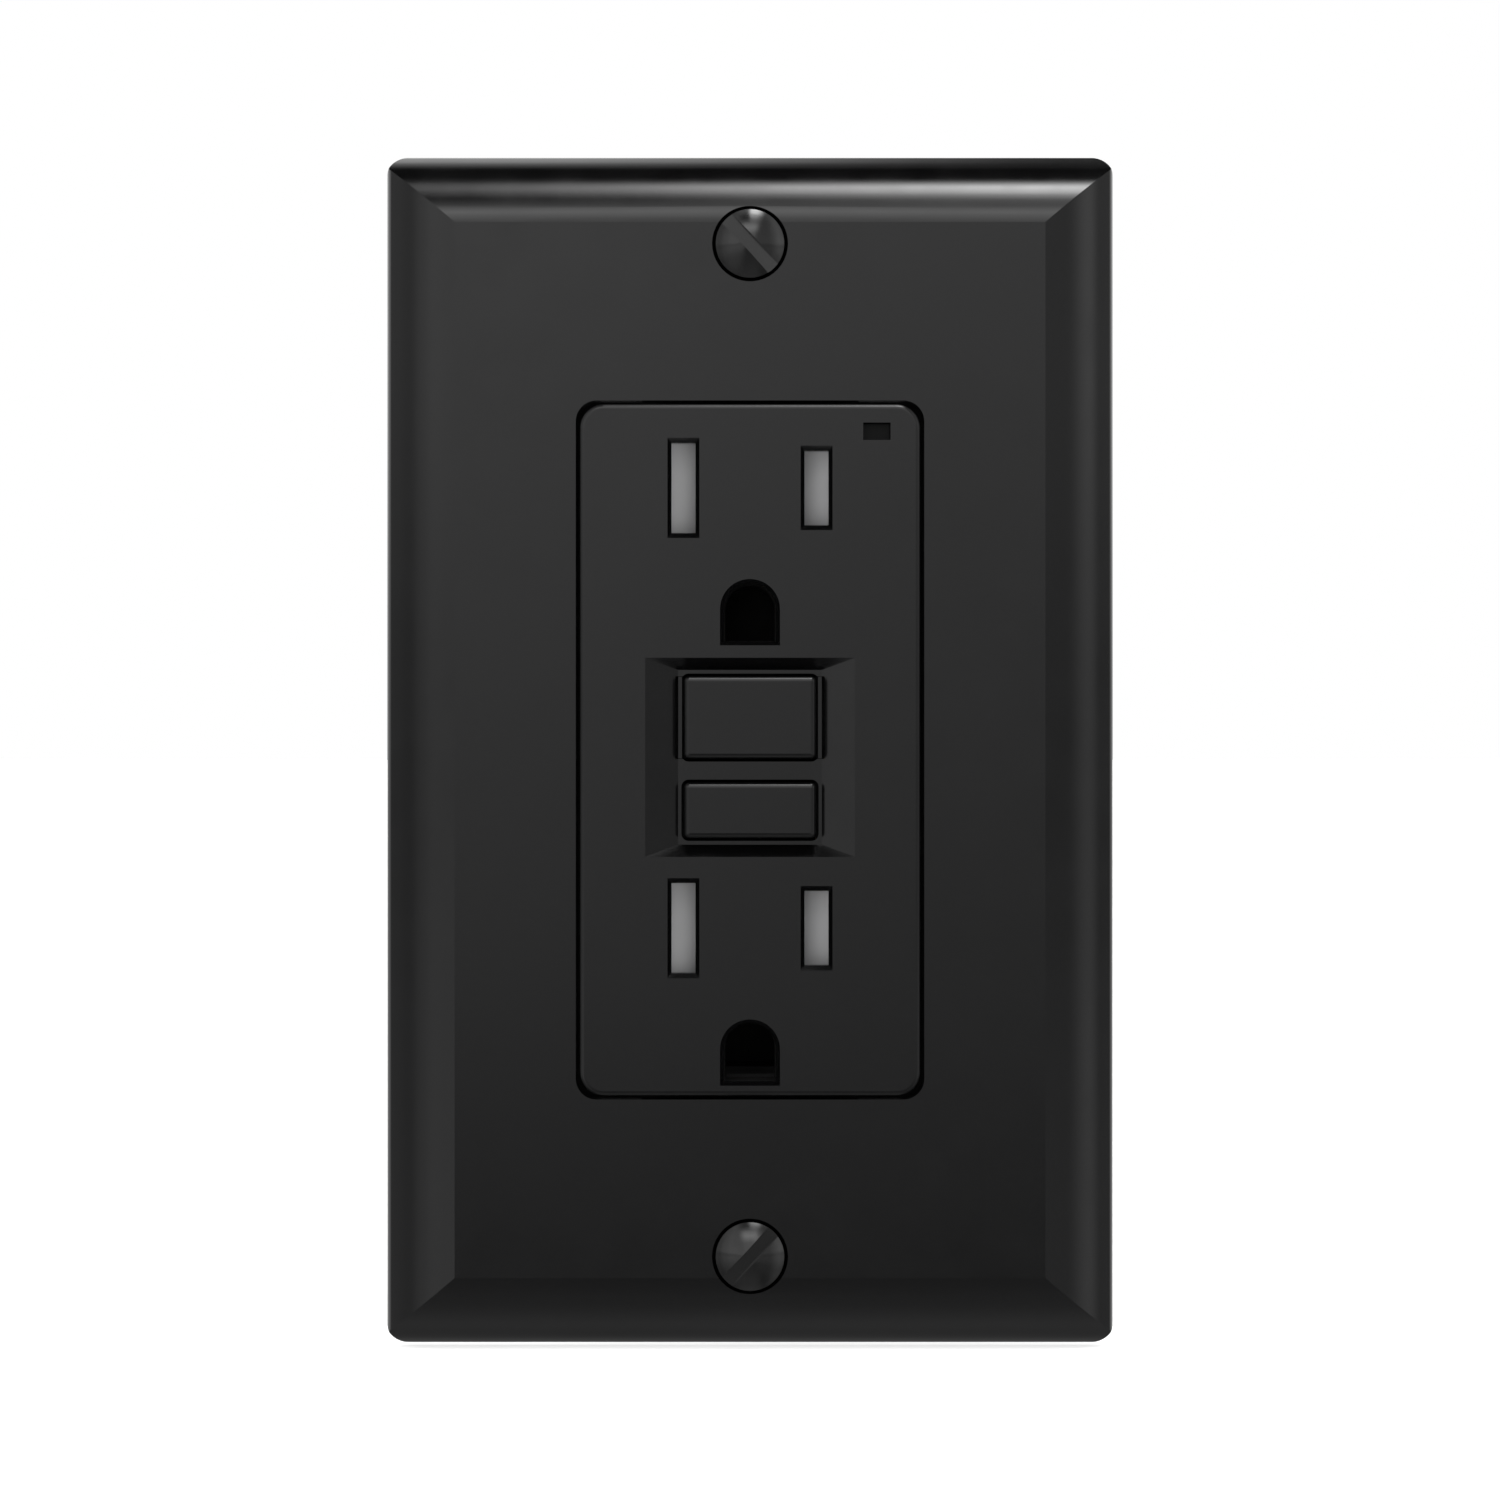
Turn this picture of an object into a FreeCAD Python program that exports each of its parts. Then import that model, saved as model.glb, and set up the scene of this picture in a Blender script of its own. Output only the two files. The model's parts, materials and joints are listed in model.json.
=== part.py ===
"""Duplex wall outlet with ground-fault protection, its decorator wall plate and everything inside it.

Millimetres. +X is to the viewer's right, +Z is up and the device faces -Y. The plane Y = 0 is the finished
wall, on which the ears of the mounting strap and the rim of the wall plate rest. X = 0 and Z = 0 are the
centre of the strap. The outlet is in its tripped state: the reset button is out and the contacts are open.
"""

import FreeCAD, Part
import math
import os
import re
import Sketcher
from FreeCAD import Placement, Rotation, Vector

SIZES = {
    # the clearance of a close fit, and how far one pad reaches into another
    "fit_gap": 0.05,
    "lap": 0.5,
    # the blunt tip of a machine screw
    "screw_tip": 0.8,
    # wall plate: a single-gang plate with a decorator opening
    "plate_width": 69.85,
    "plate_height": 114.3,
    "plate_depth": 6.0,
    "plate_wall": 2.0,
    "plate_corner": 2.1,
    "bevel_width": 6.7,
    "side_edge": 2.1,
    "side_round": 1.2,
    "side_break": 40,
    "end_edge": 0.7,
    "end_round": 1.0,
    "end_break": 60,
    "opening_width": 33.3,
    "opening_height": 66.8,
    "opening_corner": 2.0,
    "plate_screw_z": 48.4,
    "plate_hole_radius": 1.95,
    "sink_radius": 3.63,
    "sink_wall": 0.9,
    "sink_depth": 2.5,
    "plate_head_radius": 3.28,
    "plate_head_rim": 0.6,
    "plate_head_dome": 1.3,
    "plate_head_bow": 7.2,
    "plate_slot": 1.3,
    "collar_width": 1.6,
    "collar_back": -2.2,
    "boss_radius": 3.1,
    "boss_back": -1.5,
    # front cover
    "face_width": 32.5,
    "face_height": 66.0,
    "face_corner": 2.25,
    "face_break": 0.45,
    "y_face": -6.9,
    "y_cavity": -4.9,
    "y_shoulder": 1.5,
    "y_flange_inner": 3.3,
    "y_joint": 9.0,
    "case_width": 43.2,
    "case_height": 68.6,
    "case_corner": 1.5,
    "case_wall": 1.8,
    "cavity_width": 29.0,
    "cavity_height": 62.4,
    "notch_half": 10.4,
    "lip_reach": 34.2,
    "y_lip_front": -2.1,
    # outlets: heights of the two blade lines and the standard pin spacings
    "upper_z": 25.0,
    "lower_z": -17.0,
    "blade_x": 6.35,
    "ground_drop": 11.9,
    "slot_width": 2.3,
    "neutral_slot": 8.6,
    "hot_slot": 7.1,
    "slot_funnel_x": 0.37,
    "slot_funnel_z": 0.48,
    "funnel_depth": 0.5,
    "ground_radius": 2.5,
    "ground_funnel": 0.36,
    "ground_arch_drop": 11.55,
    "ground_foot_drop": 14.66,
    "tunnel_wall": 0.85,
    "tunnel_taper": 0.14,
    "y_taper": -5.5,
    "y_tunnel_back": -1.4,
    # button well and buttons
    "well_half": 10.0,
    "well_top": 8.8,
    "well_bottom": -10.2,
    "well_floor_half": 6.87,
    "well_floor_top": 7.65,
    "well_floor_bottom": -9.05,
    "y_well": -5.7,
    "y_guide": -3.9,
    "reset_z": 3.1,
    "reset_height": 7.8,
    "test_z": -5.76,
    "test_height": 5.24,
    "button_width": 12.5,
    "button_round": 0.45,
    "button_gap": 0.31,
    "mouth_corner": 0.7,
    "rib_inner": 6.5,
    "rib_outer": 6.85,
    "rib_gap": 0.4,
    "y_reset_top": -7.5,
    "y_reset_rib": -6.1,
    "y_test_top": -7.1,
    "test_travel": 1.5,
    "test_skirt": 0.7,
    "test_leg_inner": 4.4,
    "test_leg_outer": 6.0,
    "test_leg_half": 0.8,
    "strip_inner": 3.9,
    "strip_outer": 6.5,
    "strip_foot": 4.1,
    "strip_free": 2.3,
    "strip_tip": 1.2,
    "strip_thick": 0.3,
    "flange_half": 8.0,
    "flange_thick": 1.0,
    "rod_radius": 1.15,
    "y_rod_start": -5.0,
    "y_rod_tip": 17.7,
    # indicator
    "lamp_x": 12.1,
    "lamp_z": 30.4,
    "pipe_width": 2.5,
    "pipe_height": 1.56,
    "y_pipe_front": -5.6,
    "y_pipe_back": 20.8,
    # shutters and their trays
    "tray_half": 14.2,
    "tray_height": 5.5,
    "tray_rim": 0.8,
    "y_tray_front": -4.8,
    "y_tray_floor": -2.5,
    "y_tray_back": -1.5,
    "shutter_inner": 4.6,
    "shutter_outer": 9.4,
    "neutral_shutter": 4.6,
    "hot_shutter": 3.8,
    "y_shutter_front": -4.6,
    "y_shutter_back": -2.6,
    "ramp_depth": 1.3,
    "shutter_spring_radius": 0.7,
    "shutter_spring_end": 7.7,
    # mounting strap
    "strap_half": 10.0,
    "strap_reach": 53.2,
    "strap_thick": 1.3,
    "strap_corner": 4.0,
    "strap_window": 8.3,
    "box_screw_z": 41.67,
    "box_slot_half": 1.4,
    "box_slot_radius": 2.1,
    "thread_hole": 1.8,
    "strap_ground_radius": 3.6,
    "strap_ground_drop": 12.4,
    "ear_hole_x": 6.4,
    "ear_hole_z": 49.4,
    "ear_hole_radius": 1.2,
    "tab_left": -9.6,
    "tab_right": -2.4,
    "tab_outer": -36.4,
    "tab_inner": -35.1,
    "tab_back": 9.8,
    "ground_screw_x": -6.0,
    "ground_screw_y": 5.4,
    "ground_screw_flats": 6.35,
    "ground_washer": 0.7,
    "ground_washer_radius": 4.1,
    "ground_head": 2.5,
    "ground_screw_length": 4.0,
    # driver slots in the strap's and the terminals' screws
    "driver_slot": 1.0,
    "slot_deep": 1.1,
    # the clips behind the strap that grip the ground pins
    "clip_inner": 2.75,
    "clip_outer": 4.8,
    "clip_foot": 3.0,
    "clip_crown": 3.7,
    "clip_bridge": 0.8,
    "clip_thick": 0.6,
    "finger_inner": 2.45,
    "finger_outer": 3.0,
    "finger_half": 1.8,
    "y_finger_back": 9.0,
    # heads of the box screws and the washers that keep them in the strap
    "box_head_radius": 3.4,
    "box_head_rim": 1.0,
    "box_head_dome": 2.2,
    "box_head_bow": 5.2,
    "keeper_half": 3.6,
    "keeper_thick": 0.9,
    # contact frame, the insulating tray behind the strap
    "frame_half": 19.5,
    "frame_top": 29.6,
    "frame_bottom": -32.0,
    "frame_wall": 1.2,
    "frame_notch_x": 13.6,
    "frame_notch_z": 27.4,
    "y_frame_front": 3.4,
    "y_frame_floor": 12.0,
    "y_frame_back": 13.1,
    "tower_radius": 4.2,
    "y_tower": 4.4,
    "y_spring_seat": 8.4,
    "socket_radius": 3.5,
    "socket_bore": 2.9,
    "y_socket_back": 14.1,
    "test_tower_radius": 2.6,
    "y_test_tower": 6.0,
    "y_test_strip": 4.9,
    "reset_spring_radius": 2.3,
    "test_spring_radius": 1.6,
    "spring_wire": 0.5,
    # buses
    "sheet_thick": 0.5,
    "clip_gap": 1.7,
    "clip_half": 3.0,
    "y_clip_front": 4.0,
    "y_clip_back": 11.9,
    "tab_low": 9.0,
    "tab_high": 13.0,
    "y_fixed_tab": 15.3,
    "arm_inner": 9.2,
    "arm_outer": 12.8,
    "contact_radius": 1.5,
    "contact_z": 11.0,
    "y_fixed_contact": 16.3,
    "y_moving_contact": 17.7,
    "y_arm_front": 18.6,
    "y_arm_back": 19.0,
    "arm_low": -8.0,
    "arm_high": 13.0,
    # latch
    "carriage_half": 5.0,
    "carriage_low": -5.0,
    "carriage_high": 7.0,
    "y_carriage_front": 14.6,
    "y_carriage_back": 21.6,
    "wing_half": 12.9,
    "wing_thick": 2.0,
    "y_wing_front": 19.2,
    "y_wing_back": 20.8,
    "latch_half": 3.5,
    "latch_top": 9.4,
    "y_latch": 18.5,
    "latch_thick": 0.6,
    "latch_travel": 2.0,
    # solenoid
    "y_solenoid": 18.9,
    "solenoid_low": 11.0,
    "solenoid_high": 26.8,
    "bracket_thick": 0.8,
    "bracket_half": 5.0,
    "y_bracket": 14.2,
    "bobbin_half": 3.9,
    "bobbin_tube": 2.4,
    "bobbin_bore": 2.0,
    "coil_radius": 3.8,
    "plunger_radius": 1.85,
    "plunger_shoulder": 15.9,
    "plunger_top": 26.5,
    "pin_radius": 0.9,
    # circuit board and what is on it
    "board_half": 13.5,
    "board_low": -29.0,
    "board_high": 32.0,
    "y_board": 23.6,
    "board_thick": 1.6,
    "transformer_z": -17.2,
    "transformer_radius": 9.5,
    "transformer_bore": 3.2,
    "y_transformer": 14.2,
    "varistor_z": 21.0,
    "varistor_radius": 4.9,
    "varistor_left": 6.6,
    "varistor_right": 10.4,
    "varistor_stand": 5.3,
    "varistor_round": 0.9,
    "capacitor_x": -9.4,
    "capacitor_radius": 3.1,
    "capacitor_low": 15.5,
    "capacitor_high": 25.0,
    "capacitor_round": 0.5,
    "board_clear": 0.2,
    "chip_z": 0.5,
    "chip_half": 2.0,
    "chip_half_height": 2.5,
    "chip_thick": 1.5,
    "chip_stand": 0.1,
    "chip_lead": 1.0,
    "core_inner": 4.4,
    "core_outer": 8.3,
    # terminals
    "terminal_z": 19.0,
    "terminal_half": 4.6,
    "terminal_outer": 19.6,
    "terminal_inner": 18.6,
    "y_terminal_front": 14.4,
    "y_terminal_back": 24.8,
    "y_terminal_foot": 13.5,
    "foot_inner": 13.9,
    "load_foot_inner": 12.2,
    "y_terminal_screw": 19.6,
    "terminal_head": 3.6,
    "terminal_head_rim": 1.5,
    "terminal_head_dome": 2.2,
    "terminal_head_bow": 9.5,
    "terminal_screw_length": 5.3,
    "clamp_outer": 16.6,
    "clamp_inner": 15.2,
    "wire_hole_radius": 1.5,
    "wire_hole_x": 17.6,
    "wire_hole_z": 3.3,
    # rear housing and its screws
    "y_housing_back": 28.5,
    "y_housing_floor": 26.7,
    "label_half_width": 9.5,
    "label_half_height": 13.0,
    "label_depth": 0.3,
    "gauge_half": 1.0,
    "gauge_reach": 7.0,
    "gauge_rise": 0.9,
    "release_x": 13.6,
    "release_half": 1.7,
    "post_x": 16.6,
    "post_z": 30.2,
    "post_radius": 2.4,
    "post_bore": 1.3,
    "sunk_head_radius": 2.3,
    "sunk_depth": 2.2,
    "sunk_gap": 0.15,
    "sunk_head_rim": 0.9,
    "sunk_head_dome": 1.7,
    "sunk_head_bow": 3.4,
    "housing_screw_length": 21.2,
    "housing_screw_point": 1.7,
    "housing_screw_tip": 0.4,
    "cross_half": 1.25,
    "cross_thick": 0.52,
    "cross_deep": 0.9,
    # screws
    "six_radius": 1.75,
    "eight_radius": 1.9,
    "box_screw_length": 31.75,
    "neck_radius": 1.55,
    "neck_length": 3.5,
    "plate_screw_length": 12.7,
}

doc = FreeCAD.newDocument("duplex_outlet")
sheet = doc.addObject("Spreadsheet::Sheet", "Sizes")
for row, (alias, size) in enumerate(SIZES.items(), start=1):
    sheet.set(f"A{row}", str(size))
    sheet.setAlias(f"A{row}", alias)
doc.recompute()

WORD = re.compile(r"[a-z][a-z_]*[a-z]")
NODES = []
TOUCH = 1e-4

# The axis across each origin plane, and the way its pads grow along that axis.
PLANES = {"XY": ("Z", 1), "XZ": ("Y", -1), "YZ": ("X", 1)}


def bound(expression):
    """The expression with each size's name pointing at its cell in the sheet."""
    return WORD.sub(lambda m: "Sizes." + m[0] if m[0] in SIZES else m[0], str(expression))


def value(expression):
    """What an expression over the sheet's sizes comes to now."""
    return float(sheet.evalExpression(str(expression)))


def rect(left, right, low, high):
    """A rectangle's four corners."""
    return [(left, low), (right, low), (right, high), (left, high)]


def centred(half_width, half_height, x=0, z=0):
    """A rectangle about a point."""
    left, right = f"{x} - ({half_width})", f"{x} + {half_width}"
    return rect(left, right, f"{z} - ({half_height})", f"{z} + {half_height}")


def rounded(half_width, half_height, radius, x=0, z=0):
    """A rectangle about a point with a quarter circle at each corner."""
    left, right = f"{x} - ({half_width})", f"{x} + {half_width}"
    low, high = f"{z} - ({half_height})", f"{z} + {half_height}"
    return [
        (f"{left} + {radius}", low),
        (f"{right} - {radius}", low, radius, -1),
        (right, f"{low} + {radius}"),
        (right, f"{high} - {radius}", radius, -1),
        (f"{right} - {radius}", high),
        (f"{left} + {radius}", high, radius, -1),
        (left, f"{high} - {radius}"),
        (left, f"{low} + {radius}", radius, -1),
    ]


def circle(x, z, radius):
    return {"centre": (x, z), "radius": radius}


def oblong(x, z, half_run, radius, upright=False):
    """A slot with round ends centred on a point, long in X or, if upright, in Z."""
    along, across = (z, x) if upright else (x, z)
    left, right = f"{along} - {half_run}", f"{along} + {half_run}"
    low, high = f"{across} - {radius}", f"{across} + {radius}"
    out = 1 if upright else -1
    corners = [
        (left, low),
        (right, low, radius, out),
        (f"{right} + {radius}", across, radius, out),
        (right, high),
        (left, high, radius, out),
        (f"{left} - {radius}", across, radius, out),
    ]
    return [(corner[1], corner[0], *corner[2:]) for corner in corners] if upright else corners


def hexagon(half_flats):
    """A hexagon about the origin, from half its width across flats."""
    corners = []
    for turn in range(0, 360, 60):
        reach = f"({half_flats}) / cos(30deg)"
        corners.append((f"{reach} * cos({turn}deg)", f"{reach} * sin({turn}deg)"))
    return corners


def between(a, b, radius, side):
    """The middle of the arc of that radius from a to b, left of the chord for side 1 and right for -1."""
    chord = b - a
    depth = radius - math.sqrt(max(radius**2 - (chord.Length / 2) ** 2, 0))
    across = Vector(-chord.y, chord.x, 0).normalize()
    return (a + b) / 2 + across * depth * side


class Piece:
    """One PartDesign body whose sketches and features are bound to the sheet."""

    def __init__(self, label):
        self.body = doc.addObject("PartDesign::Body", label)
        self.body.Label = label
        self.planes = {f.Role[:2]: f for f in self.body.Origin.OriginFeatures if f.Role.endswith("_Plane")}

    def hold(self, sketch, kind, geometry, end, expression):
        """Adds one distance from the sketch's origin to a point, bound to the sheet."""
        index = sketch.addConstraint(Sketcher.Constraint(kind, -1, 1, geometry, end, value(expression)))
        sketch.setExpression(f"Constraints[{index}]", bound(expression))

    def draw_circle(self, sketch, loop):
        x, z = loop["centre"]
        centre = Vector(value(x), value(z), 0)
        index = sketch.addGeometry(Part.Circle(centre, Vector(0, 0, 1), value(loop["radius"])), False)
        self.hold(sketch, "DistanceX", index, 3, x)
        self.hold(sketch, "DistanceY", index, 3, z)
        self.hold_radius(sketch, index, loop["radius"])

    def hold_radius(self, sketch, geometry, expression):
        index = sketch.addConstraint(Sketcher.Constraint("Radius", geometry, value(expression)))
        sketch.setExpression(f"Constraints[{index}]", bound(expression))

    def draw_outline(self, sketch, corners):
        """Lines and arcs through the corners. A corner with a radius and side starts an arc to the next one."""
        points = [Vector(value(corner[0]), value(corner[1]), 0) for corner in corners]
        first = sketch.GeometryCount
        starts = []
        for i, corner in enumerate(corners):
            a, b = points[i], points[(i + 1) % len(points)]
            if len(corner) == 2:
                edge = Part.LineSegment(a, b)
                starts.append(1)
            else:
                middle = between(a, b, value(corner[2]), corner[3])
                edge = Part.Arc(a, middle, b) if corner[3] < 0 else Part.Arc(b, middle, a)
                starts.append(1 if corner[3] < 0 else 2)
            sketch.addGeometry(edge, False)
        for i, corner in enumerate(corners):
            after = (i + 1) % len(corners)
            ends = (first + i, 3 - starts[i], first + after, starts[after])
            sketch.addConstraint(Sketcher.Constraint("Coincident", *ends))
            self.hold(sketch, "DistanceX", first + i, starts[i], corner[0])
            self.hold(sketch, "DistanceY", first + i, starts[i], corner[1])
            if len(corner) == 4:
                self.hold_radius(sketch, first + i, corner[2])

    def sketch(self, plane, at, loops):
        """A sketch across the plane's axis, at a place along it."""
        sketch = self.body.newObject("Sketcher::SketchObject", "Sketch")
        sketch.AttachmentSupport = (self.planes[plane], [""])
        sketch.MapMode = "FlatFace"
        sketch.setExpression("AttachmentOffset.Base.z", bound(f"{PLANES[plane][1]} * ({at})"))
        for loop in loops:
            if isinstance(loop, dict):
                self.draw_circle(sketch, loop)
            else:
                self.draw_outline(sketch, loop)
        return sketch

    def pad(self, plane, loops, low, high):
        """Material over the loops, from low to high along the axis across the plane."""
        start = low if PLANES[plane][1] > 0 else high
        pad = self.body.newObject("PartDesign::Pad", "Pad")
        pad.Profile = self.sketch(plane, start, loops)
        pad.setExpression("Length", bound(f"({high}) - ({low})"))
        return self

    def pocket(self, plane, loops, low, high):
        """Takes the loops away from low to high. A pocket cuts against its sketch's normal."""
        start = high if PLANES[plane][1] > 0 else low
        pocket = self.body.newObject("PartDesign::Pocket", "Pocket")
        pocket.Profile = self.sketch(plane, start, loops)
        pocket.setExpression("Length", bound(f"({high}) - ({low})"))
        return self

    def loft(self, plane, loop, at, far_loop, far_at, cut=False):
        """Straight-sided material, or a funnel if cut, between two loops."""
        loft = self.body.newObject(f"PartDesign::{'Subtractive' if cut else 'Additive'}Loft", "Loft")
        loft.Profile = self.sketch(plane, at, [loop])
        loft.Sections = [self.sketch(plane, far_at, [far_loop])]
        loft.Ruled = True
        return self

    def turn(self, corners):
        """Material turned about the Z axis from an outline of radius and height."""
        turned = self.body.newObject("PartDesign::Revolution", "Revolution")
        profile = self.sketch("XZ", 0, [corners])
        turned.Profile = profile
        turned.ReferenceAxis = (profile, ["V_Axis"])
        turned.Angle = 360
        return self

    def dress(self, kind, size, test):
        """A fillet or chamfer on the edges whose bounding box passes the test."""
        doc.recompute()
        base = self.body.Tip
        edges = [f"Edge{i}" for i, edge in enumerate(base.Shape.Edges, start=1) if test(edge.BoundBox)]
        if not edges:
            raise ValueError(f"{self.body.Label}: no edge to {kind.lower()}")
        feature = self.body.newObject(f"PartDesign::{kind}", kind)
        feature.Base = (base, edges)
        feature.setExpression("Radius" if kind == "Fillet" else "Size", bound(size))
        return self

    def round(self, size, test):
        return self.dress("Fillet", size, test)

    def bevel(self, size, test):
        return self.dress("Chamfer", size, test)

    def node(self):
        """Keeps this body as a sub-part of the outlet."""
        NODES.append(self.body)
        return self.body


def along(axis):
    """Tests for straight edges that run along an axis."""
    others = [a for a in "XYZ" if a != axis]
    return lambda box: all(getattr(box, a + "Length") < TOUCH for a in others)


def level(axis, at):
    """Tests for edges that lie in the plane across an axis."""
    place = value(at)
    return lambda box: getattr(box, axis + "Length") < TOUCH and abs(getattr(box, axis + "Min") - place) < TOUCH


def both(*tests):
    return lambda box: all(test(box) for test in tests)


def place(obj, x, y, z, turn=None):
    """Binds an object's place to the sheet, after turning it."""
    obj.Placement = Placement(Vector(value(x), value(y), value(z)), turn or Rotation())
    for axis, expression in (("x", x), ("y", y), ("z", z)):
        obj.setExpression(f".Placement.Base.{axis}", bound(expression))
    return obj


def group(label, pieces):
    """Identical pieces kept together as one sub-part of separate solids."""
    compound = doc.addObject("Part::Compound", label)
    compound.Label = label
    compound.Links = pieces
    NODES.append(compound)
    return compound


def combine(kind, label, members):
    """A Part boolean: MultiCommon or MultiFuse of several objects, or Cut of two."""
    result = doc.addObject(f"Part::{kind}", label)
    result.Label = label
    if kind == "Cut":
        result.Base, result.Tool = members
    else:
        result.Shapes = members
    return result


BACKWARD = Rotation(Vector(1, 0, 0), -90)  # turns local +Z to point along +Y, into the wall
FORWARD = Rotation(Vector(1, 0, 0), 90)  # turns local +Z to point along -Y, out of the wall


# ---- wall plate -------------------------------------------------------------------------------------------


def bevel_profile(half, edge, small, angle):
    """One side's outline across the plate, as distance out from the middle and height off the wall.

    From the rim it rises straight, turns in on a small arc, and then runs up to the flat face on one long
    arc that is tangent to the small one.
    """
    slope = f"({angle} * 1deg)"
    turn_in = f"({small} * (1 - sin{slope}))"
    turn_up = f"({edge} + {small} * cos{slope})"
    run = f"(bevel_width - {turn_in})"
    rise = f"(plate_depth - {turn_up})"
    long_radius = f"({run} * {run} + {rise} * {rise}) / (2 * ({run} * sin{slope} - {rise} * cos{slope}))"
    return [
        (f"{half}", "0"),
        (f"{half}", edge, small),
        (f"{half} - {turn_in}", turn_up, long_radius),
        (f"{half} - bevel_width", "plate_depth"),
    ]


def plate_form(label, plane, half, edge, small, angle, reach):
    """A bar as long as the plate, with the plate's bevel along its two edges."""
    right = bevel_profile(half, edge, small, angle)
    upright = plane == "YZ"
    bulge = -1 if upright else 1
    radii = [corner[2] if len(corner) > 2 else None for corner in right]
    left = [(f"-({corner[0]})", corner[1]) for corner in reversed(right)]
    corners = []
    for (out, height, *_), radius in zip(right + left, radii + radii[-2::-1] + [None]):
        corner = (f"-({height})", out) if upright else (out, f"-({height})")
        corners.append(corner + ((radius, bulge) if radius else ()))
    form = Piece(label)
    form.pad(plane, [corners], f"-({reach})", reach)
    return form.body


def plate_screw_hole(side):
    """A plate screw's hole: a straight wall round the head, then a cone. Turned, and placed on the plate."""
    tool = Piece("plate_hole")
    spare = "0.4"
    tool.turn(
        [
            ("0", "-plate_depth"),
            ("plate_hole_radius", "-plate_depth"),
            ("plate_hole_radius", "-sink_depth"),
            ("sink_radius", "-sink_wall"),
            ("sink_radius", spare),
            ("0", spare),
        ]
    )
    return place(tool.body, "0", "-plate_depth", f"{side} * plate_screw_z", FORWARD)


def wall_plate():
    """The decorator plate: two bevelled bars and a rounded block in common, then hollowed from behind."""
    half_width, half_height = "plate_width / 2", "plate_height / 2"
    sides = plate_form(
        "plate_sides", "XY", half_width, "side_edge", "side_round", "side_break", half_height
    )
    ends = plate_form("plate_ends", "YZ", half_height, "end_edge", "end_round", "end_break", half_width)
    outline = Piece("plate_outline")
    outline.pad("XZ", [centred(half_width, half_height)], "-plate_depth", "0")
    outline.round("plate_corner", along("Y"))
    shell = combine("MultiCommon", "plate_shell", [sides, ends, outline.body])

    hollow = Piece("plate_hollow")
    rim = "(plate_wall - 0.2)"
    hollow.loft(
        "XZ",
        centred(f"{half_width} - {rim}", f"{half_height} - {rim}"),
        "0",
        centred(f"{half_width} - bevel_width + 0.7", f"{half_height} - bevel_width + 0.7"),
        "plate_wall - plate_depth",
    )

    stiffening = Piece("plate_stiffening")
    collar_x, collar_z = "opening_width / 2 + collar_width", "opening_height / 2 + collar_width"
    stiffening.pad("XZ", [centred(collar_x, collar_z)], "plate_wall / 2 - plate_depth", "collar_back")
    bosses = []
    for side in (1, -1):
        boss = Piece("plate_boss")
        spot = circle("0", f"{side} * plate_screw_z", "boss_radius")
        boss.pad("XZ", [spot], "plate_wall / 2 - plate_depth", "boss_back")
        bosses.append(boss.body)

    opening = Piece("plate_opening")
    opening.pad("XZ", [centred("opening_width / 2", "opening_height / 2")], "-plate_depth - 1", "0")
    opening.round("opening_corner", along("Y"))

    hollowed = combine("Cut", "plate_hollowed", [shell, hollow.body])
    stiffened = combine("MultiFuse", "plate_stiffened", [hollowed, stiffening.body, *bosses])
    openings = combine("MultiFuse", "plate_openings", [opening.body, plate_screw_hole(1), plate_screw_hole(-1)])
    NODES.append(combine("Cut", "wall_plate", [stiffened, openings]))


def oval_screw(slot_angle):
    """A slotted oval-head plate screw, its head's rim at the origin and its shank along +Z."""
    screw = Piece("plate_screw")
    neck = "sink_depth - 0.25"
    screw.turn(
        [
            ("0", "-plate_head_dome", "plate_head_bow", -1),
            ("plate_head_radius", "0"),
            ("plate_head_radius", "plate_head_rim"),
            ("six_radius - fit_gap", neck),
            ("six_radius - fit_gap", "plate_screw_length - screw_tip"),
            ("six_radius - screw_tip", "plate_screw_length"),
            ("0", "plate_screw_length"),
        ]
    )
    screw.pocket("YZ", [rect("-plate_slot / 2", "plate_slot / 2", "-3", "0.1")], "-4", "4")
    spin = Rotation(Vector(0, 0, 1), slot_angle)
    return screw.body, BACKWARD.multiply(spin)


def wall_plate_screws():
    placed = []
    for side, angle in ((1, 47), (-1, -47)):
        body, turn = oval_screw(angle)
        placed.append(place(body, "0", "-plate_depth", f"{side} * plate_screw_z", turn))
    group("wall_plate_screws", placed)


# ---- front cover ------------------------------------------------------------------------------------------


def arch(z, radius, bottom):
    """A ground-pin hole's outline: flat below and a half circle above."""
    return [
        (f"-({radius})", bottom),
        (radius, bottom),
        (radius, z, radius, -1),
        ("0", f"{z} + {radius}", radius, -1),
        (f"-({radius})", z),
    ]


def cut_outlet(cover, z):
    """The three mouths of one outlet, each with a funnel at the face."""
    for side, length in ((-1, "neutral_slot"), (1, "hot_slot")):
        x = f"{side} * blade_x"
        inner = centred("slot_width / 2", f"{length} / 2", x, z)
        outer = centred("slot_width / 2 + slot_funnel_x", f"{length} / 2 + slot_funnel_z", x, z)
        cover.loft("XZ", outer, "y_face", inner, "y_face + funnel_depth", cut=True)
        cover.pocket("XZ", [inner], "y_face", "y_cavity")
    top, bottom = f"{z} - ground_arch_drop", f"{z} - ground_foot_drop"
    inner = arch(top, "ground_radius", bottom)
    outer = arch(top, "ground_radius + ground_funnel", f"{bottom} - ground_funnel")
    cover.loft("XZ", outer, "y_face", inner, "y_face + funnel_depth", cut=True)
    cover.pocket("XZ", [inner], "y_face", "y_taper")
    narrow = arch(top, "ground_radius - tunnel_taper", f"{bottom} + tunnel_taper")
    cover.loft("XZ", inner, "y_taper", narrow, "y_tunnel_back", cut=True)


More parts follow.
